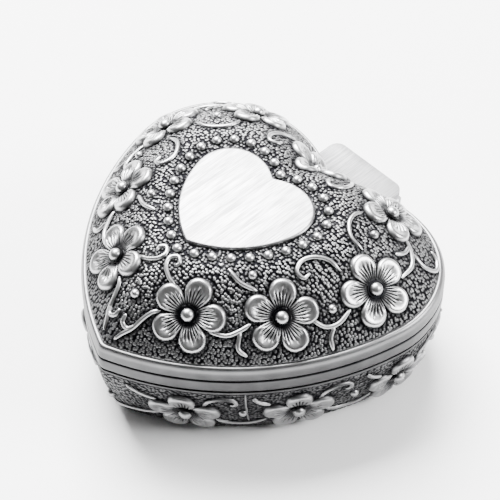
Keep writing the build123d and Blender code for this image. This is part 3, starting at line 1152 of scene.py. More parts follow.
@dataclass(frozen=True)
class VineShape:
    """Round tendril that lies half sunk in the ground."""

    radius: float = 0.5
    lift: float = 0.2
    steps: int = 9

    def _girth(self, count: int) -> Points:
        """Share of the radius at each point: full near the root, thin at the tip."""
        run = np.linspace(0, 1, count)
        girth = 0.35 + 0.65 * ease(0.0, 0.10, run) * (0.55 + 0.45 * ease(1.0, 0.75, run))
        return girth * (0.5 + 0.5 * ease(1.0, 0.95, run))

    def make(self, name: str, surface: Dome | Wall, routes: Sequence[Route]) -> bpy.types.Object:
        """Model tendrils as bevelled curves and turn them into one mesh.

        Args:
            name: Name of the piece.
            surface: Skin that they lie on.
            routes: Given points of each tendril.

        Returns:
            The mesh object.
        """
        curve = bpy.data.curves.new(name, "CURVE")
        curve.dimensions = "3D"
        curve.bevel_depth = self.radius * MM
        curve.bevel_resolution = 4
        curve.use_fill_caps = True
        for route in routes:
            feet, normals = surface.plan_foot(smooth_route(route, self.steps))
            line = feet + normals * self.lift
            places = surface.outline.lift(line[:, :2], line[:, 2])
            spline = curve.splines.new("POLY")
            spline.points.add(len(places) - 1)
            for point, place, radius in zip(spline.points, places, self._girth(len(places))):
                point.co = (*place, 1.0)
                point.radius = radius
        obj = bpy.data.objects.new(name, curve)
        bpy.context.scene.collection.objects.link(obj)
        activate(obj)
        bpy.ops.object.convert(target="MESH")
        obj = bpy.context.object
        obj.name = obj.data.name = name
        with editing(obj):
            bpy.ops.mesh.normals_make_consistent(inside=False)
        return obj


def dots(name: str, surface: Dome | Wall, spots: Route, radius: float, sink: float) -> bpy.types.Object:
    """Round dots on a skin, joined into one piece.

    Args:
        name: Name of the piece.
        surface: Skin that they stand on.
        spots: Their places on the skin.
        radius: Radius of a dot.
        sink: Height of a dot's centre over the skin.

    Returns:
        The mesh object.
    """
    made = []
    for spot in spots:
        foot, normal = surface.plan_foot(np.array([spot], float))
        middle = surface.outline.lift(foot[:, :2] + normal[:, :2] * sink, foot[:, 2] + normal[:, 2] * sink)[0]
        bpy.ops.mesh.primitive_uv_sphere_add(segments=28, ring_count=18, radius=radius * MM, location=middle)
        bpy.ops.object.transform_apply(location=True, rotation=True, scale=True)
        made.append(bpy.context.object)
    return joined(name, made)


def block(outline: HeartOutline, name: str, low: tuple, high: tuple) -> bpy.types.Object:
    """Cube between two corners in plan and level millimetres.

    Args:
        outline: Outline whose frame the corners are in.
        name: Name of the new object.
        low: Corner with the least coordinates.
        high: Corner with the greatest.

    Returns:
        The mesh object.
    """
    a, b = np.array(low), np.array(high)
    middle = (a + b) / 2
    bpy.ops.mesh.primitive_cube_add(size=MM, location=outline.lift(middle[None, :2], middle[2])[0])
    cube = bpy.context.object
    cube.name = name
    cube.scale = b - a
    bpy.ops.object.transform_apply(location=True, rotation=True, scale=True)
    return cube


def boolean(body: bpy.types.Object, tool: bpy.types.Object, operation: str) -> None:
    """Join or cut a piece with a helper, which is then removed.

    Args:
        body: The piece.
        tool: The helper.
        operation: UNION, DIFFERENCE or INTERSECT.
    """
    modifier = body.modifiers.new("work", "BOOLEAN")
    modifier.object, modifier.operation, modifier.solver = tool, operation, "EXACT"
    apply_modifier(body, modifier)
    discard(tool)


# ----------------------------------------------------------------- the ground
def press_grains(obj: bpy.types.Object, height: float) -> None:
    """Raise the ground's round grains out of its skin, inside its field mask.

    Args:
        obj: Ground skin with the attributes mould and field.
        height: Height of a grain in millimetres.
    """
    groups, name = bpy.data.node_groups, "grain_press"
    tree = groups.get(name) or groups.new(name, "GeometryNodeTree")
    sheet = Sheet(tree)
    tree.interface.clear()
    tree.interface.new_socket("Geometry", in_out="INPUT", socket_type="NodeSocketGeometry")
    tree.interface.new_socket("Geometry", in_out="OUTPUT", socket_type="NodeSocketGeometry")
    given, result = sheet.add("NodeGroupInput"), sheet.add("NodeGroupOutput")
    mould = sheet.add("GeometryNodeInputNamedAttribute", data_type="FLOAT_VECTOR", in_Name="mould")
    mask = sheet.add("GeometryNodeInputNamedAttribute", data_type="FLOAT", in_Name="field")
    crown = grain_crown(sheet, grain_distance(sheet, mould.outputs["Attribute"]))
    rise = sheet.math("MULTIPLY", crown, sheet.math("MULTIPLY", mask.outputs["Attribute"], height * MM))
    move = sheet.add("ShaderNodeVectorMath", operation="SCALE")
    sheet.link(sheet.add("GeometryNodeInputNormal").outputs[0], move.inputs[0])
    sheet.link(rise, move.inputs["Scale"])
    place = sheet.add("GeometryNodeSetPosition")
    sheet.link(given.outputs[0], place.inputs["Geometry"])
    sheet.link(move.outputs[0], place.inputs["Offset"])
    sheet.link(place.outputs[0], result.inputs[0])
    modifier = obj.modifiers.new("grains", "NODES")
    modifier.node_group = tree
    apply_modifier(obj, modifier)


def shade_ground(obj: bpy.types.Object, relief: Sequence[bpy.types.Object], open_field: float = 0.95,
                 reach: float = 1.7, filmed: float = 0.2) -> None:
    """Darken the ground beside the raised work, where film gathers and painted shade lies, and darken the
    lower ground.

    Args:
        obj: Ground skin, after its grains are pressed.
        relief: Pieces that stand on it.
        open_field: Relief of the ground away from the raised work.
        reach: Distance over which the film and the painted shade fade, in millimetres.
        filmed: Relief of the ground right beside the raised work, film and painted shade together.
    """
    cloud = np.vstack([coordinates(piece)[::3] for piece in relief])
    tree = KDTree(len(cloud))
    for i, point in enumerate(cloud):
        tree.insert(point, i)
    tree.balance()
    places, pressed = coordinates(obj), painted(obj, "field") > 0.01
    near = np.zeros(len(places))
    for i in np.nonzero(pressed)[0]:
        near[i] = tree.find(places[i])[2] / MM
    # film and painted shade beside the raised work
    value = filmed + (open_field - filmed) * ease(0.1, reach, near)
    # darker on the ground below those heights
    value *= RIM_SHARE + (1 - RIM_SHARE) * ease(*RELIEF_RISE_LEVELS, places[:, 2] / MM)
    paint(obj, "relief", np.where(pressed, value, 0.7))


def bare_land(outline: HeartOutline, places: Points) -> Points:
    """Mask of the seam's flat lands, which stay bare, from 0 at the rim's edge to 1."""
    return ease(0.45, 0.75, outline.rim_gap(places))


# ------------------------------------------------------------------- the lid
@dataclass
class Lid:
    """Domed lid: casting, ground, relief, plate, bead border and lining."""

    outline: HeartOutline
    points: int = 400
    ground_points: int = 1120
    ground_rings: int = 150
    grain: float = 0.2
    field_inner: float = 0.345
    field_outer: float = 0.967
    seam: float = -2.8
    flower_spots: tuple = ((11.2, -38.1, 44.0), (25.0, -24.2, 0.0), (33.0, -4.4, 32.0), (21.0, 13.0, 36.0))
    notch_flower: tuple = (0.0, 11.0, -18.0)
    single_dot: tuple = (0.0, -42.7)
    paired_dots: tuple = ((15.8, -23.8), (30.4, -14.7), (24.5, 3.7))
    vines: tuple = (
        ((6, -36.5), (3.5, -36.2), (1.3, -35), (0.7, -33.2), (1.9, -32), (3.1, -32.8), (2.8, -34)),
        ((6.4, -41.4), (5.2, -42.6), (4.3, -44.6), (3.6, -46.9), (2.4, -48.8), (1.6, -50.4)),
        ((4.2, -46), (2.7, -47.6), (1.2, -47.5), (0.9, -46.2)),
        ((16, -37), (19.2, -34.8), (20.8, -32), (21.5, -29.8)),
        ((20.9, -32.2), (22.3, -34.2), (24.4, -33.6)),
        ((18.5, -25.2), (15, -26.7), (11.4, -26.6)),
        ((29, -19.5), (31.6, -17.8), (32.8, -15), (32.6, -11.5)),
        ((32.6, -16.2), (33.4, -18), (35, -18.8)),
        ((26.6, -8.6), (23.6, -9.2), (21.2, -11.4), (20.3, -14), (21.2, -16.2), (23, -16), (23.2, -14.3)),
        ((26, -1.4), (22.6, -1.4), (19.8, 0.8), (18.7, 3.4), (19, 5.6)),
        ((27, 10.4), (30.3, 9.3), (33, 6.8), (34, 2.6)),
        ((29.4, 9.6), (30.2, 7.4), (29.8, 5)),
        ((30.5, 9.2), (33.8, 9.8), (35.3, 12.2), (33.6, 14.6), (31.2, 15.2)),
        ((8.6, 13.4), (10.8, 10.6), (11.2, 7.6), (9.6, 5.6), (7.8, 6.4), (8, 7.8)),
    )
    relief: list = field(default_factory=list)

    def __post_init__(self) -> None:
        """Set up the dome's skin."""
        self.dome = Dome(self.outline)

    def casting(self) -> None:
        """Rim with its rounded nose, the hollow dome under the ground and the seam face."""
        nose = [(0.962, 0.70), (0.9655, 0.98), (0.972, 1.08), (0.979, 1.04), (0.986, 0.84), (0.9925, 0.50),
                (0.9975, 0.05), (1.0, -0.55)]
        band = [(0.0, -1.2), (0.0, -1.9), (0.0, -2.3), (0.08, -2.52), (0.42, self.seam)]
        inner = [(0.945, self.seam), (0.942, -2.6), (0.936, -0.6), (0.905, 0.3)]
        inner += [(s, float(self.dome.height(s + 0.03)) - 1.5) for s in (0.86, 0.78, 0.70, 0.62, 0.54, 0.47)]
        inner += [(0.30, 12.5)]
        under = [(s, float(self.dome.height(s)) - 0.35)
                 for s in (0.30, 0.45, 0.54, 0.62, 0.70, 0.78, 0.86, 0.93)]
        profile = [(0.0, s, z) for s, z in under + nose]
        profile += [(inset, 1.0, z) for inset, z in band] + [(0.0, s, z) for s, z in inner]
        shell = rolled_sheet("lid_casting", self.outline.stack(self.points, profile))
        paint(shell, "relief", self._rim_patina_and_painted_light(coordinates(shell)))
        smooth(shell, 42)
        dress(shell, RIM, Slot.CAST, Body.LID, "lid_shell")

    def _rim_patina_and_painted_light(self, places: Points) -> Points:
        """Relief of the rim: bright on the nose, a painted highlight; duller on the band, painted shade; dark
        in the seam.
        """
        level = self.outline.levels_of(places)
        # painted highlight on the nose, painted shade on the band
        value = 0.30 + 0.36 * ease(-0.9, 0.6, level)
        return value * np.maximum(ease(-2.62, -2.3, level), bare_land(self.outline, places))

    def _ground_row(self, side: int, scale: float, sink: float = 0.0) -> Points:
        """Half ring of the ground's skin.

        Args:
            side: 1 for the right half, -1 for the left.
            scale: Size of the similar heart that it follows.
            sink: Depth under the skin.

        Returns:
            Places in metres, from the tip to the notch.
        """
        half = self.ground_points // 2 + 1
        plan = self.outline.ring(self.ground_points, scale=scale)[:half] * [side, 1]
        return self.outline.lift(plan, float(self.dome.height(scale)) - sink)

    def _unrolled(self, top: Points) -> Points:
        """Places of the ground rolled out flat from the plan centre, so that grains keep their size.

        Args:
            top: Places of the skin in metres, by row, by column, by axis.

        Returns:
            Flat places in metres, laid out like top.
        """
        spoke = top[0, :, :2] / MM - [0.0, self.outline.shift_y + self.outline.centre_y]
        start = np.linalg.norm(spoke, axis=1)
        step = np.linalg.norm(np.diff(top, axis=0), axis=2) / MM
        length = start + np.vstack([np.zeros(len(start)), np.cumsum(step, axis=0)])
        flat = length[:, :, None] * (spoke / start[:, None])
        return np.concatenate([flat, np.zeros(flat.shape[:2] + (1,))], axis=2) * MM

    def ground(self) -> None:
        """Grained field of the dome between plate and rim, in two halves."""
        scales = np.linspace(self.field_inner, self.field_outer, self.ground_rings)
        for side, name in ((1, "lid_ground_right"), (-1, "lid_ground_left")):
            top = np.stack([self._ground_row(side, float(s)) for s in scales])
            under = np.stack([self._ground_row(side, s, 0.3) for s in (0.966, 0.80, 0.60, self.field_inner)])
            mask = ease(self.field_outer, self.field_outer - 0.01, scales)
            skin = half_skin(name, top, under, self._unrolled(top), mask)
            press_grains(skin, self.grain)
            shade_ground(skin, self.relief)
            smooth(skin, 75)
            dress(skin, GROUND, Slot.CAST, Body.LID)

    def flowers(self, pattern: bpy.types.Object) -> None:
        """Nine flowers, the paired ones mirrored left and right.

        Args:
            pattern: The flat flower.
        """
        number = 1
        for x, y, turn in self.flower_spots + (self.notch_flower,):
            for side in ((1, -1) if x else (1,)):
                flower = duplicate(pattern, f"lid_flower_{number}_cast")
                angle = math.radians(turn if side > 0 else 180.0 - turn)
                drape(flower, self.dome, (side * x, y), angle)
                smooth(flower, 60)
                dress(flower, CAST, Slot.CAST, Body.LID, f"lid_flower_{number}")
                self.relief.append(flower)
                number += 1

    def tendrils(self) -> None:
        """Vines and dots between the flowers."""
        routes = [tuple((side * x, y) for x, y in route) for side in (1, -1) for route in self.vines]
        vines = VineShape().make("lid_vines", self.dome, routes)
        spots = [self.single_dot] + [(side * x, y) for x, y in self.paired_dots for side in (1, -1)]
        balls = dots("lid_dots", self.dome, spots, 1.0, 0.1)
        for piece in (vines, balls):
            paint(piece, "relief", ease(-0.05, 0.42, self.dome.over(coordinates(piece))))
            smooth(piece, 60)
            dress(piece, CAST, Slot.CAST, Body.LID)
            self.relief.append(piece)

    def border(self, count: int = 28, scale: float = 0.432, radius: float = 1.13) -> None:
        """Half-round beads at even steps on a similar heart round the plate.

        Args:
            count: Number of beads.
            scale: Size of the heart that they follow.
            radius: Radius of a bead.
        """
        ring = self.outline.ring(FINE, scale=scale)
        along, closed = along_ring(ring), np.vstack([ring, ring[:1]])
        wanted = along[-1] * np.arange(count) / count
        spots = np.column_stack([np.interp(wanted, along, closed[:, k]) for k in (0, 1)])
        beads = dots("bead_border_cast", self.dome, [tuple(s) for s in spots], radius, 0.05)
        paint(beads, "relief", ease(0.1, 0.75, self.dome.over(coordinates(beads))))
        smooth(beads, 60)
        dress(beads, BEADS, Slot.BRIGHT, Body.LID, "bead_border")
        self.relief.append(beads)

    def plate(self, scale: float = 0.368, top: float = 15.3) -> None:
        """Plain polished heart with a softly rolled edge and a faint crown.

        Args:
            scale: Size of the plate against the rim.
            top: Level of its middle.
        """
        profile = [(0.0, self.dome.land - 0.1), (0.0, top - 0.62)]
        for turn in np.arange(1, 9) * math.pi / 16:
            profile.append((0.6 * (1 - math.cos(turn)), top - 0.62 + 0.5 * math.sin(turn)))
        for t in (0.12, 0.3, 0.6, 1.0):
            profile.append((0.6 + 14.0 * scale * t, top - 0.12 + 0.10 * float(ease(0.0, 1.0, t))))
        sizes = [(0.0, scale * (1 - inset / (42.0 * scale)), level) for inset, level in profile]
        plate = rolled_sheet("polished_heart", self.outline.stack(240, sizes))
        smooth(plate, 50)
        dress(plate, BRIGHT, Slot.BRIGHT, Body.LID, "heart_plate")
        self.relief.append(plate)

    def lining(self) -> None:
        """Velvet glued inside the lid's hollow, with a soft edge."""
        outer = [(s, float(self.dome.height(s + 0.035)) - 1.95)
                 for s in (0.885, 0.86, 0.80, 0.74, 0.68, 0.62, 0.56, 0.50)] + [(0.44, 12.0), (0.30, 12.15)]
        inner = [(s * 0.985 - 0.004, z - 0.85) for s, z in outer][::-1]
        inner[-1] = (0.876, outer[0][1] - 0.3)
        rings = self.outline.stack(300, [(0.0, s, z) for s, z in inner + outer])
        lining = rolled_sheet("lid_velvet", rings)
        smooth(lining, 60)
        dress(lining, VELVET, Slot.VELVET, Body.LID, "lid_lining")

    def build(self, pattern: bpy.types.Object) -> None:
        """Make every piece of the lid; the ground is last, as its film and painted shade follow the relief.

        Args:
            pattern: The flat flower.
        """
        self.casting()
        self.flowers(pattern)
        self.tendrils()
        self.border()
        self.plate()
        self.lining()
        self.ground()


# ------------------------------------------------------------------- the base
@dataclass
class Base:
    """Bowl-like base: casting, ground, relief and velvet linings."""

    outline: HeartOutline
    points: int = 400
    ground_points: int = 1300
    ground_rings: int = 98
    grain: float = 0.2
    seam: float = -2.8
    groove: tuple = (-6.86, -6.18)
    field_top: float = -7.42
    field_foot: float = -25.35
    gap_low: tuple = (-11.1, 8.0, -5.5)
    gap_high: tuple = (11.1, 26.0, 2.0)
    flower_spots: tuple = ((15.4, -43.6), (33.0, -25.8), (41.0, -3.0), (32.0, 18.0))
    flower_level: float = -17.0
    ridge_spot: tuple = (26.5, -35.5)
    # share of the relief kept on the base's pieces: painted shade, the wall being painted darker than the lid
    film: float = 0.66
    hook: tuple = ((4.4, -12.6), (5.8, -10.4), (8.4, -9.2), (10.8, -9.6), (11.5, -11.2), (10.2, -12.0))
    leaf: tuple = ((15.0, -9.0), (16.4, -10.8), (18.6, -12.2))
    stem: tuple = ((6.2, -19.6), (9.0, -21.4), (13.6, -21.6), (17.4, -20.0))
    front_hook: tuple = ((-13.8, -12.2), (-11.6, -9.8), (-8.0, -9.2), (-5.4, -10.6), (-5.8, -12.6),
                         (-7.6, -12.4))
    front_leaf: tuple = ((5.6, -9.2), (8.2, -11.0), (11.6, -12.4))
    front_stem: tuple = ((-10.8, -19.8), (-6.0, -21.2), (0.0, -21.6), (6.0, -21.2), (10.8, -19.8))
    relief: list = field(default_factory=list)

    def __post_init__(self) -> None:
        """Set up the wall's skin."""
        self.wall = Wall(self.outline)

    def _profile(self) -> list[tuple[float, float]]:
        """Inset and level of each ring of the casting, from under the foot to the floor inside."""
        foot, seam = self.wall.inset(-25.2), self.seam
        under = [(foot + 6.0, -26.0), (foot + 1.4, -26.0), (foot + 0.7, -25.95), (foot + 0.25, -25.75),
                 (foot + 0.1, -25.4)]
        wall = [(self.wall.inset(z) + 0.3, z) for z in (-25.0, -23.0, -20.0, -17.0, -14.0, -11.0, -8.5)]
        lip = [(0.35, -7.45), (0.14, -7.32), (0.1, -7.1), (0.14, -6.92), (0.3, -6.84)]
        groove = [(0.72, -6.78), (0.78, -6.52), (0.72, -6.28), (0.26, -6.2)]
        band = [(0.08, -6.1), (0.0, -5.8), (0.0, -4.8), (0.0, -3.7), (0.0, -3.3), (0.08, -3.08), (0.42, seam)]
        inside = [(2.2, seam), (2.4, -3.0), (2.45, -5.0), (2.5, -8.0), (4.2, -17.0), (6.8, -24.2),
                  (12.0, -24.2)]
        return under + wall + lip + groove + band + inside

    def _rim_patina_and_painted_light(self, places: Points) -> Points:
        """Relief of the casting: filmed in the groove and the seam, brighter on the foot; the band's dull
        value is painted shade.
        """
        level = self.outline.levels_of(places)
        # the band's low relief is painted shade
        value = 0.30 * np.maximum(ease(-2.98, -3.3, level), bare_land(self.outline, places))
        value = np.where((level > self.groove[0]) & (level < self.groove[1]), 0.0, value)
        return np.where(level < -7.35, 0.45, value)

    def casting(self) -> None:
        """Rim band with its groove and lip, the bowl's inside and the flat bottom."""
        rings = []
        for inset, level in self._profile():
            plan = self.outline.ring(self.points, inset, tip=2.5 + 0.28 * max(0, inset - 0.7))
            rings.append(self.outline.lift(plan, level))
        shell = rolled_sheet("base_casting", np.stack(rings))
        boolean(shell, block(self.outline, "gap", self.gap_low, self.gap_high), "DIFFERENCE")
        paint(shell, "relief", self._rim_patina_and_painted_light(coordinates(shell)))
        smooth(shell, 42)
        dress(shell, RIM, Slot.CAST, Body.BASE, "base_shell")

    def _unrolled(self, top: Points, side: int) -> Points:
        """Places of the wall rolled out flat, so that grains keep their size.

        Args:
            top: Places of the skin in metres, by row, by column, by axis.
            side: 1 for the right half, -1 for the left.

        Returns:
            Flat places in metres, laid out like top.
        """
        across = np.linalg.norm(np.diff(top[len(top) // 2], axis=0), axis=1)
        down = np.linalg.norm(np.diff(top[:, top.shape[1] // 2], axis=0), axis=1)
        rows, columns = (np.concatenate([[0.0], np.cumsum(step)]) for step in (down, across))
        grid = np.meshgrid(rows, side * columns, indexing="ij")
        return np.stack([grid[1], -grid[0], np.zeros_like(grid[0])], axis=2)

    def ground(self) -> None:
        """Grained skin of the wall, in two halves."""
        levels = np.linspace(self.field_top, self.field_foot, self.ground_rings)
        half = self.ground_points // 2 + 1
        mask = ease(-7.45, -7.8, levels) * ease(self.field_foot, self.field_foot + 0.4, levels)
        front = self.wall.rings(list(levels), self.ground_points)[:, :half]
        back = self.wall.rings([-25.3, -20.0, -14.0, -7.5], self.ground_points, sink=0.4)[:, :half]
        for side, name in ((1, "base_ground_right"), (-1, "base_ground_left")):
            top = front * [side, 1, 1]
            skin = half_skin(name, top, back * [side, 1, 1], self._unrolled(top, side), mask)
            press_grains(skin, self.grain)
            # lower open field than the lid's: painted shade on the base's ground
            shade_ground(skin, self.relief, open_field=0.6)
            smooth(skin, 75)
            dress(skin, GROUND, Slot.CAST, Body.BASE)

    def flowers(self, pattern: bpy.types.Object, worn: Points) -> list[float]:
        """Eight flowers round the wall, the left ones mirrored.

        Args:
            pattern: The flat flower.
            worn: Its relief values.

        Returns:
            Distances of the right-hand flowers from the tip, along the wall.
        """
        number, along = 1, []
        for x, y in self.flower_spots:
            distance = self.wall.nearest(x, y)
            along.append(distance)
            for side in (1, -1):
                flower = duplicate(pattern, f"base_flower_{number}_cast")
                drape(flower, self.wall, (side * distance, self.flower_level), math.radians(90))
                # relief cut down by the base's share: painted shade
                paint(flower, "relief", self.film * worn)
                smooth(flower, 60)
                dress(flower, CAST, Slot.CAST, Body.BASE, f"base_flower_{number}")
                self.relief.append(flower)
                number += 1
        return along

    def _routes(self, along: list[float]) -> list[Route]:
        """Given points of every hook, leaf and stem."""
        routes = [self.front_hook, self.front_leaf, self.front_stem]
        for side in (1, -1):
            for start in along[:-1]:
                for shape in (self.hook, self.leaf, self.stem):
                    routes.append(tuple((side * (start + s), z) for s, z in shape))
            routes.append(tuple((side * (along[-1] + s), z) for s, z in self.hook))
        return routes

    def tendrils(self, along: list[float]) -> None:
        """Hooks, leaves, stems, dots and mould ridges between the flowers.

        Args:
            along: Distances of the right-hand flowers from the tip.
        """
        vines = VineShape().make("base_vines", self.wall, self._routes(along))
        spots = [(0.0, -17.2)]
        spots += [(side * (start + 12.6), -15.6) for side in (1, -1) for start in along[:-1]]
        balls = dots("base_dots", self.wall, spots, 1.0, 0.1)
        ridge = self.wall.nearest(*self.ridge_spot)
        lines = [tuple((side * ridge, z) for z in (-7.3, -12.0, -17.0, -21.5)) for side in (1, -1)]
        ridges = VineShape(radius=0.24, lift=0.1).make("mould_ridges", self.wall, lines)
        for piece in (vines, balls, ridges):
            # relief cut down by the base's share: painted shade
            paint(piece, "relief", self.film * ease(-0.05, 0.42, self.wall.over(coordinates(piece))))
            smooth(piece, 60)
            dress(piece, CAST, Slot.CAST, Body.BASE)
            self.relief.append(piece)

    def linings(self) -> None:
        """Velvet wall strip and the padded floor."""
        cover = [(2.62, -6.3), (2.66, -8.0), (4.36, -17.0), (6.8, -23.6), (7.85, -23.7), (5.25, -17.0),
                 (3.55, -8.0), (3.3, -6.0), (2.95, -5.75), (2.7, -5.9)]
        pad = [(8.4, -24.1), (7.95, -23.6), (8.0, -23.0), (8.6, -22.6), (10.2, -22.32), (14.0, -22.2)]
        pad = [(inset, 1.0, z) for inset, z in pad] + [(0.0, scale, -22.15) for scale in (0.45, 0.25, 0.1)]
        rings = self.outline.stack(300, [(inset, 1.0, z) for inset, z in cover])
        strip = rolled_sheet("base_velvet", rings, loop=True)
        smooth(strip, 60)
        dress(strip, VELVET, Slot.VELVET, Body.BASE, "base_lining")
        cushion = rolled_sheet("floor_cushion", self.outline.stack(300, pad))
        smooth(cushion, 60)
        dress(cushion, VELVET, Slot.VELVET, Body.BASE, "floor_pad")

    def build(self, pattern: bpy.types.Object, worn: Points) -> None:
        """Make every piece of the base; the ground is last, as its film and painted shade follow the relief.

        Args:
            pattern: The flat flower.
            worn: Its relief values.
        """
        self.casting()
        self.tendrils(self.flowers(pattern, worn))
        self.linings()
        self.ground()


# ------------------------------------------------------------------ the hinge
@dataclass
class Hinge:
    """Flat tab and knuckle of the lid, bracket and ears of the base, and the pin."""

    outline: HeartOutline
    tab_half: float = 10.8
    rear: float = 29.2
    tab_top: float = -3.8
    tab_under: float = -5.2
    web_rise: float = 1.4
    axis_y: float = 27.2
    axis_z: float = -6.9
    barrel_r: float = 1.5
    room_r: float = 2.35
    pin_r: float = 0.8
    running_play: float = 0.05
    tight_fit: float = 0.02
    ear_in: float = 4.2
    ear_out: float = 10.5
    knuckle_half: float = 3.9
    neck_half: float = 1.1
    corner_r: float = 2.6
    edge_r: float = 0.16
    worn: float = 0.6

    def _rod(self, name: str, half: float, radius: float) -> bpy.types.Object:
        """Cylinder on the hinge axis.

        Args:
            name: Name of the new object.
            half: Half of its length.
            radius: Its radius.

        Returns:
            The mesh object.
        """
        middle = self.outline.lift(np.array([[0.0, self.axis_y]]), self.axis_z)[0]
        bpy.ops.mesh.primitive_cylinder_add(vertices=64, radius=radius * MM, depth=2 * half * MM,
                                            location=middle, rotation=(0, math.pi / 2, 0))
        rod = bpy.context.object
        rod.name = name
        bpy.ops.object.transform_apply(location=True, rotation=True, scale=True)
        return rod

    def _slab(self, name: str, plan: Points, low: float, high: float) -> bpy.types.Object:
        """Plate with a plan outline between two levels."""
        return rolled_sheet(name, np.stack([self.outline.lift(plan, z) for z in (low, high)]))

    def _soften(self, obj: bpy.types.Object, width: float) -> None:
        """Round the sharp edges of a finished casting.

        Args:
            obj: The casting.
            width: Width of the rounding.
        """
        modifier = obj.modifiers.new("edges", "BEVEL")
        modifier.width, modifier.segments = width * MM, 3
        modifier.limit_method, modifier.angle_limit = "ANGLE", math.radians(35)
        apply_modifier(obj, modifier)
        smooth(obj, 40)

    def _tab_plan(self) -> Points:
        """Plan outline of the tab, its rear corners rounded."""
        turn = np.linspace(0.0, math.pi / 2, 12)
        corner = self.corner_r * np.column_stack([np.cos(turn), np.sin(turn)])
        right = [self.tab_half - self.corner_r, self.rear - self.corner_r] + corner
        return np.vstack([[self.tab_half, 12.0], right, right[::-1] * [-1, 1], [-self.tab_half, 12.0]])

    def leaf(self) -> None:
        """Tab with rounded rear corners, its web to the lid's rim and the middle knuckle."""
        outline, half = self.outline, self.knuckle_half
        tab = self._slab("hinge_leaf", self._tab_plan(), self.tab_under, self.tab_top)
        hollow = self._slab("hollow", outline.ring(400, 2.3), -9.0, 1.0)
        web = self._slab("web", outline.ring(400, 0.02), self.tab_under, self.tab_top + self.web_rise)
        window = block(outline, "window", (-self.tab_half, 5.0, -9.0), (self.tab_half, 25.0, 1.0))
        boolean(web, window, "INTERSECT")
        boolean(tab, web, "UNION")
        boolean(tab, hollow, "DIFFERENCE")
        neck = block(outline, "neck", (-half, self.axis_y - self.neck_half, self.axis_z),
                     (half, self.axis_y + self.neck_half, self.tab_under + 0.3))
        boolean(tab, neck, "UNION")
        boolean(tab, self._rod("knuckle", half, self.barrel_r), "UNION")
        boolean(tab, self._rod("bore", 6.0, self.pin_r + self.running_play), "DIFFERENCE")
        self._soften(tab, self.edge_r)
        dress(tab, SATIN, Slot.CAST, Body.LID)

    def _bracket_body(self) -> bpy.types.Object:
        """Wedge of the bracket, drawn from the side and extruded across."""
        y, z = self.axis_y, self.axis_z
        side = np.array([(y - 11.0, z + 0.4), (y + 0.6, z + 0.4), (y + 1.4, z - 0.4), (y + 1.4, z - 2.4),
                         (y - 1.2, z - 4.4), (y - 9.0, z - 7.4), (y - 12.6, z - 7.4), (y - 12.0, z - 3.0)])
        bpy.ops.mesh.primitive_circle_add(vertices=len(side), fill_type="NGON", radius=MM)
        bracket = bpy.context.object
        bracket.name = "hinge_bracket"
        plan = np.column_stack([np.full(len(side), -self.ear_out), side[:, 0]])
        reshape(bracket, self.outline.lift(plan, side[:, 1]))
        with editing(bracket):
            bpy.ops.mesh.extrude_region_move(
                TRANSFORM_OT_translate={"value": (2 * self.ear_out * MM, 0, 0)})
            bpy.ops.mesh.select_all(action="SELECT")
            bpy.ops.mesh.normals_make_consistent(inside=False)
        return bracket

    def bracket(self) -> None:
        """Bracket cast on the base, with an ear each side of the knuckle."""
        y, z, room = self.axis_y, self.axis_z, self.room_r
        bracket = self._bracket_body()
        boolean(bracket, self._rod("ears", self.ear_out, self.barrel_r), "UNION")
        boolean(bracket, self._slab("hollow", self.outline.ring(400, 3.0), -20.0, 1.0), "DIFFERENCE")
        boolean(bracket, self._rod("room", self.ear_in, room), "DIFFERENCE")
        for low, high in (((-self.ear_in, y, z - room), (self.ear_in, y + 6, z + 3)),
                          ((-self.ear_in, y - room, z), (self.ear_in, y + 6, z + 3))):
            boolean(bracket, block(self.outline, "room", low, high), "DIFFERENCE")
        boolean(bracket, self._rod("bore", 12.0, self.pin_r - self.tight_fit), "DIFFERENCE")
        self._soften(bracket, self.edge_r)
        paint(bracket, "relief", np.full(len(bracket.data.vertices), self.worn))
        dress(bracket, CAST, Slot.CAST, Body.BASE)

    def pin(self) -> None:
        """Steel pin, the edges of its ends softened."""
        pin = self._rod("steel_pin", self.ear_out, self.pin_r)
        self._soften(pin, 0.12)
        dress(pin, STEEL, Slot.PIN, Body.BASE, "hinge_pin")

    def build(self) -> None:
        """Make every piece of the hinge."""
        self.leaf()
        self.bracket()
        self.pin()


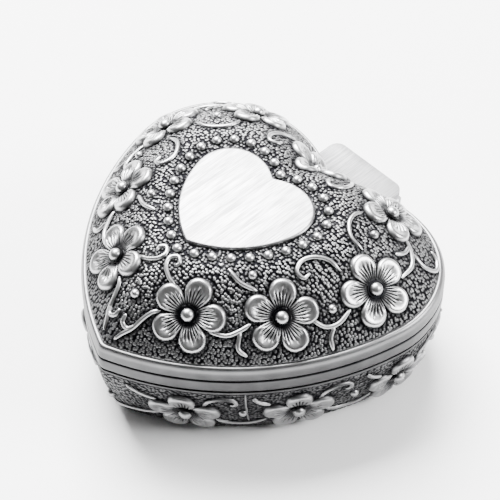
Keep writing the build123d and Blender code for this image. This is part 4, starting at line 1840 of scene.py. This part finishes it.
# ------------------------------------------------------------------- the room
@dataclass
class Studio:
    """Pale floor, soft light and the camera."""

    outline: HeartOutline
    target: tuple = (1.96, -11.36, 0.0)
    eye: tuple = (199.16, -199.49, 319.56)
    lens: float = 137.1
    pale_side: tuple = (-0.42, 0.42, 0.80)
    pale_reach: tuple = (0.3, 0.98)
    dim: tuple = (0.05, 0.05, 0.051, 1)
    pale: tuple = (1.0, 1.0, 1.0, 1)

    def _place(self, point: tuple) -> Vector:
        """Plan and level point in metres."""
        return Vector(self.outline.lift(np.array([point[:2]]), point[2])[0])

    def floor(self) -> None:
        """White table that runs out of view."""
        bpy.ops.mesh.primitive_plane_add(size=6.0)
        plane = bpy.context.object
        plane.name = "table"
        plane.data.materials.append(TABLE.make())

    def light(self, name: str, where: tuple, size: float, power: float) -> None:
        """Square soft box that faces the box.

        Args:
            name: Name of the light.
            where: Its place in metres.
            size: Length of its side in metres.
            power: Its power in watts.
        """
        data = bpy.data.lights.new(name, "AREA")
        data.energy, data.size = power, size
        lamp = bpy.data.objects.new(name, data)
        lamp.location = where
        lamp.rotation_euler = (Vector((0, 0, 0.02)) - lamp.location).to_track_quat("-Z", "Y").to_euler()
        bpy.context.scene.collection.objects.link(lamp)

    def surroundings(self) -> None:
        """Room that is pale behind and over the box and dim on the viewer's side."""
        world = bpy.data.worlds.new("studio")
        bpy.context.scene.world = world
        world.use_nodes = True
        sheet = Sheet(world.node_tree)
        facing = sheet.add("ShaderNodeVectorMath", operation="DOT_PRODUCT")
        sheet.link(sheet.add("ShaderNodeTexCoord").outputs["Generated"], facing.inputs[0])
        sheet.feed(self.pale_side, facing.inputs[1])
        glow = sheet.add("ShaderNodeBackground", in_Strength=1.5)
        tone = sheet.remap(facing.outputs["Value"], *self.pale_reach)
        sheet.link(sheet.blend(tone, self.dim, self.pale), glow.inputs["Color"])
        sheet.link(glow.outputs[0], sheet.add("ShaderNodeOutputWorld").inputs["Surface"])

    def camera(self) -> None:
        """Camera at the viewer's place."""
        data = bpy.data.cameras.new("camera")
        data.lens, data.sensor_width = self.lens, 36.0
        data.clip_start, data.clip_end = 0.01, 20.0
        camera = bpy.data.objects.new("camera", data)
        camera.location = self._place(self.eye)
        way = self._place(self.target) - camera.location
        camera.rotation_euler = way.to_track_quat("-Z", "Y").to_euler()
        bpy.context.scene.collection.objects.link(camera)
        bpy.context.scene.camera = camera

    def build(self) -> None:
        """Set up floor, lights, room and camera."""
        self.floor()
        self.surroundings()
        self.light("key", (-0.70, 0.34, 0.98), 0.9, 130.0)
        self.light("side", (0.75, 0.60, 0.70), 0.5, 26.0)
        self.camera()


def main() -> None:
    """Load the frame, line the outline up with it and build every class in order."""
    logging.basicConfig(level=logging.INFO, format="%(name)s %(message)s")
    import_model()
    deselect()
    low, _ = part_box("lid_shell")
    tip = HeartOutline(0.0)
    tip_y = float(tip.ring(800)[0, 1])
    outline = HeartOutline(shift_y=low.y / MM - tip_y)
    Studio(outline).build()
    pattern, worn = FlowerShape().make("flower_pattern")
    Lid(outline).build(pattern)
    Base(outline).build(pattern, worn)
    Hinge(outline).build()
    discard(pattern)


if __name__ == "__main__":
    main()
